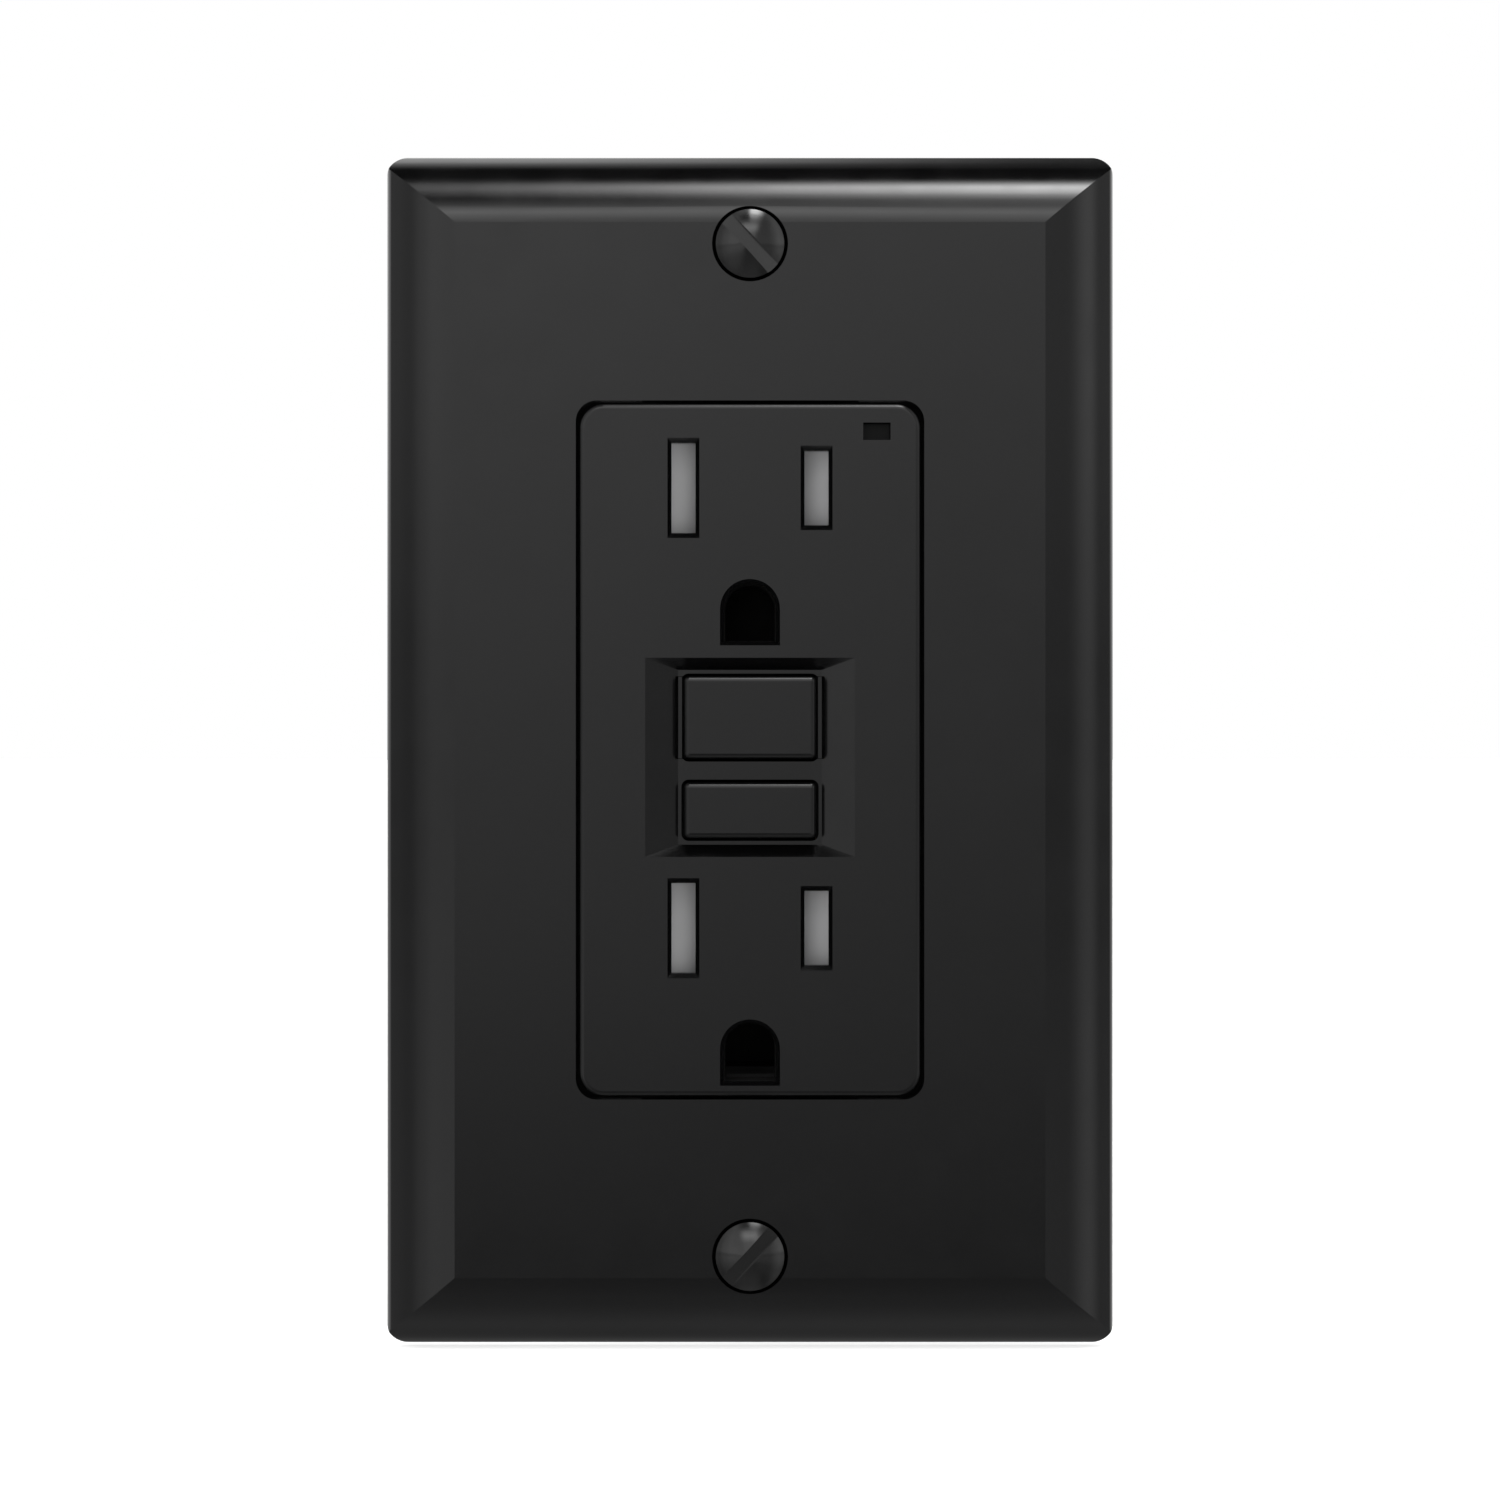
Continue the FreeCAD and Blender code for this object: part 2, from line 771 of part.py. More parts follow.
def ground_tunnel(cover, z):
    """The walls that lead a ground pin from the face to the strap."""
    top, bottom = f"{z} - ground_arch_drop", f"{z} - ground_foot_drop"
    outside = arch(top, "ground_radius + tunnel_wall", f"{bottom} - tunnel_wall")
    cover.pad("XZ", [outside], "y_cavity - lap", "y_tunnel_back")


def front_cover():
    """The decorator face and the wide flange behind it, one moulding open at the back."""
    cover = Piece("front_cover")
    cover.pad("XZ", [centred("face_width / 2", "face_height / 2")], "y_face", "y_shoulder + lap")
    cover.round("face_corner", along("Y"))
    cover.round("face_break", level("Y", "y_face"))
    cover.pad("XZ", [centred("case_width / 2", "case_height / 2")], "y_shoulder", "y_joint")
    outside = value("case_width / 2")
    cover.round("case_corner", both(along("Y"), lambda box: abs(abs(box.XMin) - outside) < TOUCH))
    cover.pocket("XZ", [centred("cavity_width / 2", "cavity_height / 2")], "y_cavity", "y_joint")
    inner = centred("case_width / 2 - case_wall", "case_height / 2 - case_wall")
    cover.pocket("XZ", [inner], "y_flange_inner", "y_joint")

    posts = [circle(f"{a} * post_x", f"{b} * post_z", "post_radius") for a in (1, -1) for b in (1, -1)]
    cover.pad("XZ", posts, "y_flange_inner - lap", "y_joint")
    pilots = [circle(f"{a} * post_x", f"{b} * post_z", "post_bore - 0.1") for a in (1, -1) for b in (1, -1)]
    cover.pocket("XZ", pilots, "y_flange_inner + 1.2", "y_joint")

    ends = [
        rect("-notch_half", "notch_half", "cavity_height / 2 - 0.1", "case_height / 2 + 0.1"),
        rect("-notch_half", "notch_half", "-case_height / 2 - 0.1", "0.1 - cavity_height / 2"),
    ]
    cover.pocket("XZ", ends, "-strap_thick - fit_gap", "y_joint")
    for side in (1, -1):
        root, back = f"{side} * (face_height / 2 - 0.2)", "-strap_thick - fit_gap"
        wedge = [("y_lip_front", root), (back, root), (back, f"{side} * lip_reach")]
        cover.pad("YZ", [wedge], "-notch_half", "notch_half")

    well = rect("-well_half", "well_half", "well_bottom", "well_top")
    floor = rect("-well_floor_half", "well_floor_half", "well_floor_bottom", "well_floor_top")
    guide = rect("-well_half + 0.8", "well_half - 0.8", "well_bottom - 0.2", "well_top + 0.1")
    cover.pad("XZ", [guide], "y_cavity - lap", "y_guide")
    cover.loft("XZ", well, "y_face", floor, "y_well", cut=True)
    mouth_width = "button_width / 2 + button_gap"
    mouths = [
        rounded(mouth_width, "reset_height / 2 + button_gap", "mouth_corner", z="reset_z"),
        rounded(mouth_width, "test_height / 2 + button_gap", "mouth_corner", z="test_z"),
    ]
    cover.pocket("XZ", mouths, "y_well - 0.1", "y_guide")
    beside = centred("rib_outer + rib_gap", "reset_height / 2 + fit_gap", z="reset_z")
    cover.pocket("XZ", [beside], "y_well - 0.1", "y_guide")

    for z in ("upper_z", "lower_z"):
        ground_tunnel(cover, z)
        cut_outlet(cover, z)
    window = centred("pipe_width / 2 + fit_gap", "pipe_height / 2 + fit_gap", "lamp_x", "lamp_z")
    cover.pocket("XZ", [window], "y_face", "y_cavity")
    cover.node()


# ---- buttons ----------------------------------------------------------------------------------------------


def reset_button():
    """The reset button: a cap between two guide ribs, with a flange that stops it behind the cover."""
    button = Piece("reset_button")
    cap = centred("button_width / 2", "reset_height / 2", z="reset_z")
    button.pad("XZ", [cap], "y_reset_top", "y_guide + 0.1")
    button.round("button_round", along("Y"))
    button.round("button_round", level("Y", "y_reset_top"))
    low, high = "reset_z - reset_height / 2", "reset_z + reset_height / 2"
    ribs = [rect("rib_inner", "rib_outer", low, high), rect("-rib_outer", "-rib_inner", low, high)]
    button.pad("XZ", ribs, "y_reset_rib", "y_guide + 0.1")
    flange = centred("flange_half", "reset_height / 2", z="reset_z")
    button.pad("XZ", [flange], "y_guide + fit_gap", "y_guide + fit_gap + flange_thick")
    button.pocket("XZ", [circle("0", "reset_z", "rod_radius + fit_gap")], "y_rod_start", "0")
    button.node()


def test_button():
    """The test button, with a leg that closes the test contact at the end of its travel."""
    button = Piece("test_button")
    cap = centred("button_width / 2", "test_height / 2", z="test_z")
    button.pad("XZ", [cap], "y_test_top", "y_guide + 0.1")
    button.round("button_round", along("Y"))
    button.round("button_round", level("Y", "y_test_top"))
    flange = centred("flange_half", "test_height / 2", z="test_z")
    front, back = "y_guide + fit_gap", "y_guide + fit_gap + flange_thick"
    button.pad("XZ", [flange], front, back)
    foot = "test_z - test_height / 2"
    skirt = [(front, foot), (back, f"{foot} - test_skirt"), (back, foot)]
    button.pad("YZ", [skirt], "-button_width / 2", "button_width / 2")
    leg = rect("test_leg_inner", "test_leg_outer", "test_z - test_leg_half", "test_z + test_leg_half")
    button.pad("XZ", [leg], "y_guide", "y_test_strip - test_travel - fit_gap")
    button.node()


def reset_rod():
    """The steel rod in the reset button: a shaft, a groove for the latch and a cone tip."""
    rod = Piece("reset_rod")
    length = "(y_rod_tip - y_rod_start)"
    rod.turn(
        [
            ("0", "0"),
            ("rod_radius", "0"),
            ("rod_radius", f"{length} - 2.4"),
            ("rod_radius - 0.4", f"{length} - 2.2"),
            ("rod_radius - 0.4", f"{length} - 1.3"),
            ("rod_radius", f"{length} - 1.3"),
            ("rod_radius", f"{length} - 1"),
            ("0.3", length),
            ("0", length),
        ]
    )
    place(rod.body, "0", "y_rod_start", "reset_z", BACKWARD)
    rod.node()


def spring(label, radius, wire, length, x, y, z, turn=None):
    """A coil spring's envelope: a thin tube of its outer diameter and wire thickness."""
    tube = Piece(label)
    tube.turn(
        [
            (f"{radius} - {wire}", "0"),
            (radius, "0"),
            (radius, length),
            (f"{radius} - {wire}", length),
        ]
    )
    place(tube.body, x, y, z, turn)
    tube.node()


def button_springs():
    start = "(y_guide + fit_gap + flange_thick)"
    length = f"y_spring_seat - {start}"
    spring("reset_spring", "reset_spring_radius", "spring_wire", length, "0", start, "reset_z", BACKWARD)
    spring("test_spring", "test_spring_radius", "spring_wire * 0.8", length, "0", start, "test_z", BACKWARD)


def test_contact_strip():
    """The sprung strip that the test button's leg presses, on a post of the contact frame."""
    strip = Piece("test_contact_strip")
    blade = rect("strip_inner", "strip_outer", "test_z - strip_foot", "test_z + strip_tip")
    strip.pad("XZ", [blade], "y_test_strip", "y_test_strip + strip_thick")
    strip.node()


def indicator():
    """The light pipe behind the window in the face, and the lamp on the board that lights it."""
    pipe = Piece("indicator_light_pipe")
    section = centred("pipe_width / 2", "pipe_height / 2", "lamp_x", "lamp_z")
    pipe.pad("XZ", [section], "y_pipe_front", "y_pipe_back")
    pipe.node()
    lamp = Piece("indicator_lamp")
    lamp.pad("XZ", [centred("1.2", "0.7", "lamp_x", "lamp_z")], "y_board - 1.2", "y_board")
    lamp.pad("XZ", [centred("0.8", "0.5", "lamp_x", "lamp_z")], "y_pipe_back + 0.2", "y_board - 1.2")
    lamp.node()


# ---- tamper-resistant shutters ----------------------------------------------------------------------------


def shutter(label, side, half_height, z):
    """A shutter that covers one blade slot. A blade on its ramp drives it outwards against its spring."""
    piece = Piece(label)

    def x(expression):
        return f"{side} * ({expression})"

    plan = [
        (x("shutter_inner"), "y_shutter_back"),
        (x("shutter_outer"), "y_shutter_back"),
        (x("shutter_outer"), "y_shutter_front"),
        (x("blade_x + slot_width / 2 + 0.15"), "y_shutter_front"),
        (x("shutter_inner"), "y_shutter_front + ramp_depth"),
    ]
    piece.pad("XY", [plan], f"{z} - {half_height}", f"{z} + {half_height}")
    pocket = rect(x("shutter_spring_end"), x("shutter_outer"), f"{z} - 0.9", f"{z} + 0.9")
    piece.pocket("XZ", [pocket], "y_shutter_front", "y_shutter_back - 0.2")
    piece.node()


def shutter_spring(label, side, z):
    turn = Rotation(Vector(0, 1, 0), 90 * side)
    length = "tray_half - tray_rim - shutter_spring_end"
    middle = "y_shutter_front + 0.1 + shutter_spring_radius"
    x = f"{side} * shutter_spring_end"
    spring(label, "shutter_spring_radius", "spring_wire * 0.5", length, x, middle, z, turn)


def shutter_tray(label, z):
    """The tray that two shutters slide in: a floor with blade windows and a rim."""
    tray = Piece(label)
    corner_x, corner_z = "lamp_x - pipe_width / 2 - 0.35", f"{z} + 4.5"
    low, high = f"{z} - tray_height", f"{z} + tray_height"
    outline = [
        ("-tray_half", low),
        ("tray_half", low),
        ("tray_half", corner_z),
        (corner_x, corner_z),
        (corner_x, high),
        ("-tray_half", high),
    ]
    tray.pad("XZ", [outline], "y_tray_front", "y_tray_back")
    hollow = centred("tray_half - tray_rim", "tray_height - tray_rim", z=z)
    tray.pocket("XZ", [hollow], "y_tray_front", "y_tray_floor")
    windows = [
        centred("slot_width / 2 + 0.2", "neutral_slot / 2 + 0.1", "-blade_x", z),
        centred("slot_width / 2 + 0.2", "hot_slot / 2 + 0.1", "blade_x", z),
    ]
    tray.pocket("XZ", windows, "y_tray_floor", "y_tray_back")
    tray.node()


def shutters():
    for outlet, z in (("upper", "upper_z"), ("lower", "lower_z")):
        for pole, side, half in (("neutral", -1, "neutral_shutter"), ("hot", 1, "hot_shutter")):
            shutter(f"{outlet}_{pole}_shutter", side, half, z)
            shutter_spring(f"{outlet}_{pole}_shutter_spring", side, z)
        shutter_tray(f"{outlet}_shutter_tray", z)


# ---- mounting strap and grounding -------------------------------------------------------------------------


def mounting_strap():
    """The steel strap: one flat plate from ear to ear, with a tab bent back for the ground screw."""
    strap = Piece("mounting_strap")
    strap.pad("XZ", [centred("strap_half", "strap_reach")], "-strap_thick", "0")
    strap.round("strap_corner", along("Y"))
    windows = [
        rect("-strap_window", "strap_window", "upper_z - 5.4", "upper_z + 5.4"),
        rect("-strap_window", "strap_window", "lower_z - 5.4", "lower_z + 5.4"),
        rect("-strap_window", "strap_window", "well_bottom + 0.3", "well_top - 0.5"),
        circle("0", "upper_z - strap_ground_drop", "strap_ground_radius"),
        circle("0", "lower_z - strap_ground_drop", "strap_ground_radius"),
    ]
    for side in (1, -1):
        for hand in (1, -1):
            windows.append(circle(f"{hand} * ear_hole_x", f"{side} * ear_hole_z", "ear_hole_radius"))
        windows.append(oblong("0", f"{side} * box_screw_z", "box_slot_half", "box_slot_radius"))
        windows.append(circle("0", f"{side} * plate_screw_z", "thread_hole"))
    strap.pocket("XZ", windows, "-strap_thick", "0")
    strap.pad("XY", [rect("tab_left", "tab_right", "-strap_thick", "tab_back")], "tab_outer", "tab_inner")
    hole = circle("ground_screw_x", "ground_screw_y", "eight_radius + 0.1")
    strap.pocket("XY", [hole], "tab_outer", "tab_inner")
    strap.node()


def ground_contact(label, z):
    """A brass clip on the back of the strap: an arched base and two fingers that grip the ground pin."""
    clip = Piece(label)
    foot, crown = f"{z} - clip_foot", f"{z} + clip_crown"
    clip.pad("XZ", [rect("-clip_outer", "clip_outer", foot, crown)], "0", "clip_thick")
    arm_gap = rect("-clip_inner", "clip_inner", f"{foot} - 0.1", f"{crown} - clip_bridge")
    clip.pocket("XZ", [arm_gap], "0", "clip_thick")
    low, high = f"{z} - finger_half", f"{z} + finger_half"
    ends = [("finger_inner", "finger_outer"), ("-finger_outer", "-finger_inner")]
    clip.pad("XZ", [rect(*end, low, high) for end in ends], "fit_gap", "y_finger_back")
    clip.node()


def ground_screw():
    """The green hex-washer screw in the strap's tab, its head towards the floor."""
    screw = Piece("ground_screw")
    rim = "ground_washer_radius"
    screw.turn([("0", "-ground_washer"), (rim, "-ground_washer"), (rim, "0"), ("0", "0")])
    screw.pad("XY", [hexagon("ground_screw_flats / 2")], "-ground_head", "-ground_washer")
    screw.pad("XY", [circle("0", "0", "eight_radius")], "0", "ground_screw_length")
    slot = rect("-driver_slot / 2", "driver_slot / 2", "-ground_head", "-ground_head + slot_deep")
    screw.pocket("YZ", [slot], "-5", "5")
    place(screw.body, "ground_screw_x", "ground_screw_y", "tab_outer")
    screw.node()


def mounting_screws():
    """Two pan-head screws that fasten the strap to the wall box, and the washers that keep them in it."""
    screws, keepers = [], []
    for side in (1, -1):
        screw = Piece("box_screw")
        screw.turn(
            [
                ("0", "-box_head_dome", "box_head_bow", -1),
                ("box_head_radius", "-box_head_rim"),
                ("box_head_radius", "0"),
                ("neck_radius", "0"),
                ("neck_radius", "neck_length"),
                ("six_radius", "neck_length + 0.2"),
                ("six_radius", "box_screw_length - screw_tip"),
                ("six_radius - screw_tip", "box_screw_length"),
                ("0", "box_screw_length"),
            ]
        )
        slot = rect("-driver_slot / 2", "driver_slot / 2", "-3", "-box_head_dome + slot_deep")
        screw.pocket("YZ", [slot], "-4", "4")
        spot = ("0", "-strap_thick", f"{side} * box_screw_z")
        screws.append(place(screw.body, *spot, BACKWARD))
        keeper = Piece("screw_keeper")
        hole = circle("0", "0", "six_radius + fit_gap")
        keeper.pad("XY", [centred("keeper_half", "keeper_half"), hole], "0", "keeper_thick")
        keepers.append(place(keeper.body, "0", "fit_gap", f"{side} * box_screw_z", BACKWARD))
    group("mounting_screws", screws)
    group("mounting_screw_retainers", keepers)


# ---- contact frame and buses ------------------------------------------------------------------------------


def contact_frame():
    """The insulating tray that carries the buses, with towers for the two button springs."""
    frame = Piece("contact_frame")

    def outline(inset):
        x_out, x_in = f"(frame_half - {inset})", f"(frame_notch_x - {inset})"
        top, bottom = f"(frame_top - {inset})", f"(frame_bottom + {inset})"
        z_high, z_low = f"(frame_notch_z - {inset})", f"-(frame_notch_z - {inset})"
        right = [(x_in, bottom), (x_in, z_low), (x_out, z_low), (x_out, z_high), (x_in, z_high), (x_in, top)]
        left = [(f"-{x}", z) for x, z in reversed(right)]
        return right + left

    frame.pad("XZ", [outline("0")], "y_frame_front", "y_frame_back")
    frame.pocket("XZ", [outline("frame_wall")], "y_frame_front", "y_frame_floor")
    frame.pad("XZ", [circle("0", "reset_z", "tower_radius")], "y_tower", "y_frame_back")
    frame.pad("XZ", [circle("0", "test_z", "test_tower_radius")], "y_test_tower", "y_frame_back")
    post = rect("strip_inner", "strip_outer", "test_z - strip_foot", "test_z - strip_free")
    frame.pad("XZ", [post], "y_test_strip + strip_thick", "y_frame_back")
    frame.pocket("XZ", [circle("0", "reset_z", "reset_spring_radius + 0.3")], "y_tower", "y_spring_seat")
    frame.pocket("XZ", [circle("0", "test_z", "test_spring_radius + 0.3")], "y_test_tower", "y_spring_seat")
    frame.pocket("XZ", [circle("0", "reset_z", "rod_radius + 0.35")], "y_spring_seat", "y_frame_back")
    sockets = [circle("0", f"{z} - ground_drop", "socket_radius") for z in ("upper_z", "lower_z")]
    frame.pad("XZ", sockets, "y_frame_floor", "y_socket_back")
    bores = [circle("0", f"{z} - ground_drop", "socket_bore") for z in ("upper_z", "lower_z")]
    frame.pocket("XZ", bores, "y_frame_floor", "y_socket_back - 0.6")
    legs = [rect(*ends, "tab_low - 0.1", "tab_high + 0.1") for ends in (("-7.9", "-7"), ("7", "7.9"))]
    frame.pocket("XZ", legs, "y_frame_floor", "y_frame_back")
    frame.node()


def bus(label, side):
    """One pole's brass bus: a strip that joins two blade clips, and a leg to the fixed contact."""
    piece = Piece(label)

    def x(expression):
        return f"{side} * ({expression})"

    outer_low, outer_high = x("blade_x + clip_gap / 2"), x("blade_x + clip_gap / 2 + sheet_thick")
    inner_low, inner_high = x("blade_x - clip_gap / 2 - sheet_thick"), x("blade_x - clip_gap / 2")
    strip = rect(outer_low, outer_high, "lower_z - clip_half", "upper_z + clip_half")
    piece.pad("XZ", [strip], "y_clip_front + 1", "y_clip_back - 2")
    clip = [
        (outer_high, "y_clip_front"),
        (outer_high, "y_clip_back"),
        (inner_low, "y_clip_back"),
        (inner_low, "y_clip_front"),
        (inner_high, "y_clip_front"),
        (inner_high, "y_clip_back - sheet_thick"),
        (outer_low, "y_clip_back - sheet_thick"),
        (outer_low, "y_clip_front"),
    ]
    for z in ("upper_z", "lower_z"):
        piece.pad("XY", [clip], f"{z} - clip_half", f"{z} + clip_half")
    leg = rect(outer_low, outer_high, "tab_low", "tab_high")
    piece.pad("XZ", [leg], "y_clip_back - 2.5", "y_fixed_tab")
    tab = rect(outer_low, x("arm_outer + 0.2"), "tab_low", "tab_high")
    piece.pad("XZ", [tab], "y_fixed_tab - sheet_thick", "y_fixed_tab")
    low, high = "tab_high - lap", "terminal_z - terminal_half + 1.5"
    link = rect(x("load_foot_inner"), x("arm_outer + 0.2"), low, high)
    piece.pad("XZ", [link], "y_terminal_front", "y_fixed_tab")
    piece.node()


def contact_button(label, side, y_tip, y_root):
    """A silver contact rivet's head."""
    rivet = Piece(label)
    x = f"{side} * (arm_inner + arm_outer) / 2"
    rivet.pad("XZ", [circle(x, "contact_z", "contact_radius")], y_tip, y_root)
    return rivet


def contacts():
    fixed = [contact_button("fixed_contact", side, "y_fixed_tab", "y_fixed_contact").body for side in (-1, 1)]
    group("fixed_contacts", fixed)
    for pole, side in (("neutral", -1), ("hot", 1)):
        contact_button(f"{pole}_moving_contact", side, "y_moving_contact", "y_arm_front").node()
        arm = Piece(f"{pole}_contact_arm")
        ends = (f"{side} * arm_inner", f"{side} * arm_outer")
        arm.pad("XZ", [rect(*ends, "arm_low", "arm_high")], "y_arm_front", "y_arm_back")
        arm.node()


def line_conductor(label, side):
    """The brass conductor from a line terminal to the root of its contact arm."""
    piece = Piece(label)

    def x(expression):
        return f"{side} * ({expression})"

    front, back = "y_arm_back + 0.1", "y_arm_back + 0.1 + sheet_thick"
    inner, bend = "transformer_radius + 0.3", "foot_inner - fit_gap"
    plan = [
        (x(inner), front),
        (x(f"{bend} - sheet_thick"), front),
        (x(f"{bend} - sheet_thick"), "y_terminal_foot"),
        (x(bend), "y_terminal_foot"),
        (x(bend), back),
        (x(inner), back),
    ]
    middle = "-terminal_z + 1"
    piece.pad("XY", [plan], f"{middle} - 2", f"{middle} + 2")
    run = rect(x(inner), x("arm_outer"), f"{middle} + 1", "arm_low + 1")
    piece.pad("XZ", [run], front, back)
    piece.node()


# ---- latch and solenoid -----------------------------------------------------------------------------------


def latch():
    """The carriage that lifts the contact arms, the latch plate that slides in it, and its spring."""
    carriage = Piece("latch_carriage")
    body = rect("-carriage_half", "carriage_half", "carriage_low", "carriage_high")
    carriage.pad("XZ", [body], "y_carriage_front", "y_carriage_back")
    wings = centred("wing_half", "wing_thick / 2", z="reset_z")
    carriage.pad("XZ", [wings], "y_wing_front", "y_wing_back")
    carriage.pocket("XZ", [circle("0", "reset_z", "rod_radius + 0.55")], "y_carriage_front", "y_carriage_back")
    end = "carriage_low + 0.8"
    slot = rect("-latch_half - 0.15", "latch_half + 0.15", "y_latch - latch_thick", "y_latch + latch_thick")
    carriage.pocket("XY", [slot], end, "carriage_high")
    carriage.pocket("XY", [centred("1.2", "1.2", z="y_latch")], end, "0.2")
    carriage.node()

    plate = Piece("latch_plate")
    front, back = "y_latch - latch_thick / 2", "y_latch + latch_thick / 2"
    plate.pad("XZ", [rect("-latch_half", "latch_half", "0", "latch_top")], front, back)
    hole = oblong("0", "reset_z + latch_travel / 2", "latch_travel / 2", "1.5", upright=True)
    plate.pocket("XZ", [hole], front, back)
    plate.node()
    spring("latch_spring", "1", "0.3", f"0 - ({end})", "0", "y_latch", end)


def solenoid():
    """The trip solenoid: a steel bracket, a bobbin, its coil, the plunger and the return spring."""
    bracket = Piece("solenoid_bracket")
    high = "solenoid_high"
    bracket.pad(
        "YZ",
        [
            [
                ("y_bracket", "solenoid_low"),
                ("y_board - 0.4", "solenoid_low"),
                ("y_board - 0.4", "solenoid_low + bracket_thick"),
                ("y_bracket + bracket_thick - 0.1", "solenoid_low + bracket_thick"),
                ("y_bracket + bracket_thick - 0.1", f"{high} - bracket_thick"),
                ("y_board - 0.4", f"{high} - bracket_thick"),
                ("y_board - 0.4", high),
                ("y_bracket", high),
            ]
        ],
        "-bracket_half",
        "bracket_half",
    )
    bracket.pocket("XY", [circle("0", "y_solenoid", "pin_radius + 0.4")], "solenoid_low", "solenoid_low + 2")
    bracket.pocket("XY", [circle("0", "y_solenoid", "plunger_radius + 0.25")], f"{high} - 2", high)
    bracket.node()

    low, top = "(solenoid_low + bracket_thick)", "(solenoid_high - bracket_thick)"
    bobbin = Piece("solenoid_bobbin")
    bobbin.pad("XY", [circle("0", "y_solenoid", "bobbin_tube")], low, top)
    flange = rect("-bobbin_half", "bobbin_half", "y_solenoid - bobbin_half", "y_solenoid + bobbin_half")
    bobbin.pad("XY", [flange], low, f"{low} + 1")
    bobbin.pad("XY", [flange], f"{top} - 1", top)
    bobbin.pocket("XY", [circle("0", "y_solenoid", "bobbin_bore")], low, top)
    bobbin.node()

    coil = Piece("solenoid_coil")
    rings = [circle("0", "y_solenoid", "coil_radius"), circle("0", "y_solenoid", "bobbin_tube")]
    coil.pad("XY", [rings[0], rings[1]], f"{low} + 1", f"{top} - 1")
    coil.node()

    plunger = Piece("solenoid_plunger")
    plunger.pad("XY", [circle("0", "y_solenoid", "plunger_radius")], "plunger_shoulder", "plunger_top")
    plunger.pad("XY", [circle("0", "y_solenoid", "pin_radius")], "latch_top + fit_gap", "plunger_shoulder")
    plunger.node()
    seat = f"{low} + fit_gap"
    spring("plunger_spring", "1.7", "0.4", f"plunger_shoulder - ({seat})", "0", "y_solenoid", seat)


# ---- circuit board ----------------------------------------------------------------------------------------


def circuit_board():
    board = Piece("circuit_board")
    back = "y_board + board_thick"
    board.pad("XZ", [rect("-board_half", "board_half", "board_low", "board_high")], "y_board", back)
    holes = [circle("0", "transformer_z", "transformer_bore - 0.6")]
    board.pocket("XZ", holes, "y_board", back)
    board.node()

    cup = Piece("transformer_housing")
    outer = circle("0", "transformer_z", "transformer_radius")
    bore = circle("0", "transformer_z", "transformer_bore")
    cup.pad("XZ", [outer, bore], "y_transformer", "y_board")
    chamber = [
        circle("0", "transformer_z", "transformer_radius - 0.9"),
        circle("0", "transformer_z", "transformer_bore + 0.9"),
    ]
    cup.pocket("XZ", chamber, "y_transformer + 0.9", "y_board")
    cup.node()

    cores = []
    for low, high in (("y_transformer + 1.1", "y_transformer + 4.7"), ("y_transformer + 5.3", "y_board - 0.4")):
        core = Piece("core")
        rings = [circle("0", "transformer_z", "core_outer"), circle("0", "transformer_z", "core_inner")]
        core.pad("XZ", rings, low, high)
        cores.append(core.body)
    group("transformer_cores", cores)

    varistor = Piece("surge_varistor")
    disc = circle("y_board - varistor_stand", "varistor_z", "varistor_radius")
    varistor.pad("YZ", [disc], "varistor_left", "varistor_right")
    varistor.round("varistor_round", lambda box: box.XLength < TOUCH)
    varistor.node()

    capacitor = Piece("storage_capacitor")
    can = circle("capacitor_x", "y_board - capacitor_radius - board_clear", "capacitor_radius")
    capacitor.pad("XY", [can], "capacitor_low", "capacitor_high")
    capacitor.round("capacitor_round", lambda box: box.ZLength < TOUCH)
    capacitor.node()

    chip = Piece("control_chip")
    body = centred("chip_half", "chip_half_height", z="chip_z")
    chip.pad("XZ", [body], "y_board - chip_thick", "y_board - chip_stand")
    leads = centred("chip_half + chip_lead", "chip_half_height - chip_stand * 3", z="chip_z")
    chip.pad("XZ", [leads], "y_board - chip_stand * 3", "y_board")
    chip.node()


# ---- terminals --------------------------------------------------------------------------------------------


def terminal(label, side, z, foot):
    """A terminal: a plate behind the side window, and a foot turned in as far as its conductor."""
    piece = Piece(label)

    def x(expression):
        return f"{side} * ({expression})"

    plan = [
        (x(foot), "y_terminal_foot"),
        (x("terminal_outer"), "y_terminal_foot"),
        (x("terminal_outer"), "y_terminal_back"),
        (x("terminal_inner"), "y_terminal_back"),
        (x("terminal_inner"), "y_terminal_front"),
        (x(foot), "y_terminal_front"),
    ]
    piece.pad("XY", [plan], f"{z} - terminal_half", f"{z} + terminal_half")
    ends = sorted((x("terminal_inner"), x("terminal_outer")), key=value)
    piece.pocket("YZ", [circle("y_terminal_screw", z, "eight_radius + 0.15")], *ends)
    piece.node()


def terminal_screw(side, z):
    """A binding-head terminal screw, its head outwards and its shank through plate and clamp."""
    screw = Piece("terminal_screw")
    screw.turn(
        [
            ("0", "-terminal_head_dome", "terminal_head_bow", -1),
            ("terminal_head", "-terminal_head_rim"),
            ("terminal_head", "0"),
            ("eight_radius", "0"),
            ("eight_radius", "terminal_screw_length - screw_tip"),
            ("eight_radius - screw_tip", "terminal_screw_length"),
            ("0", "terminal_screw_length"),
        ]
    )
    slot = rect("-driver_slot / 2", "driver_slot / 2", "-3", "-terminal_head_dome + slot_deep")
    screw.pocket("YZ", [slot], "-4", "4")
    turn = Rotation(Vector(0, 1, 0), -90 * side)
    return place(screw.body, f"{side} * (terminal_outer + 0.02)", "y_terminal_screw", z, turn)


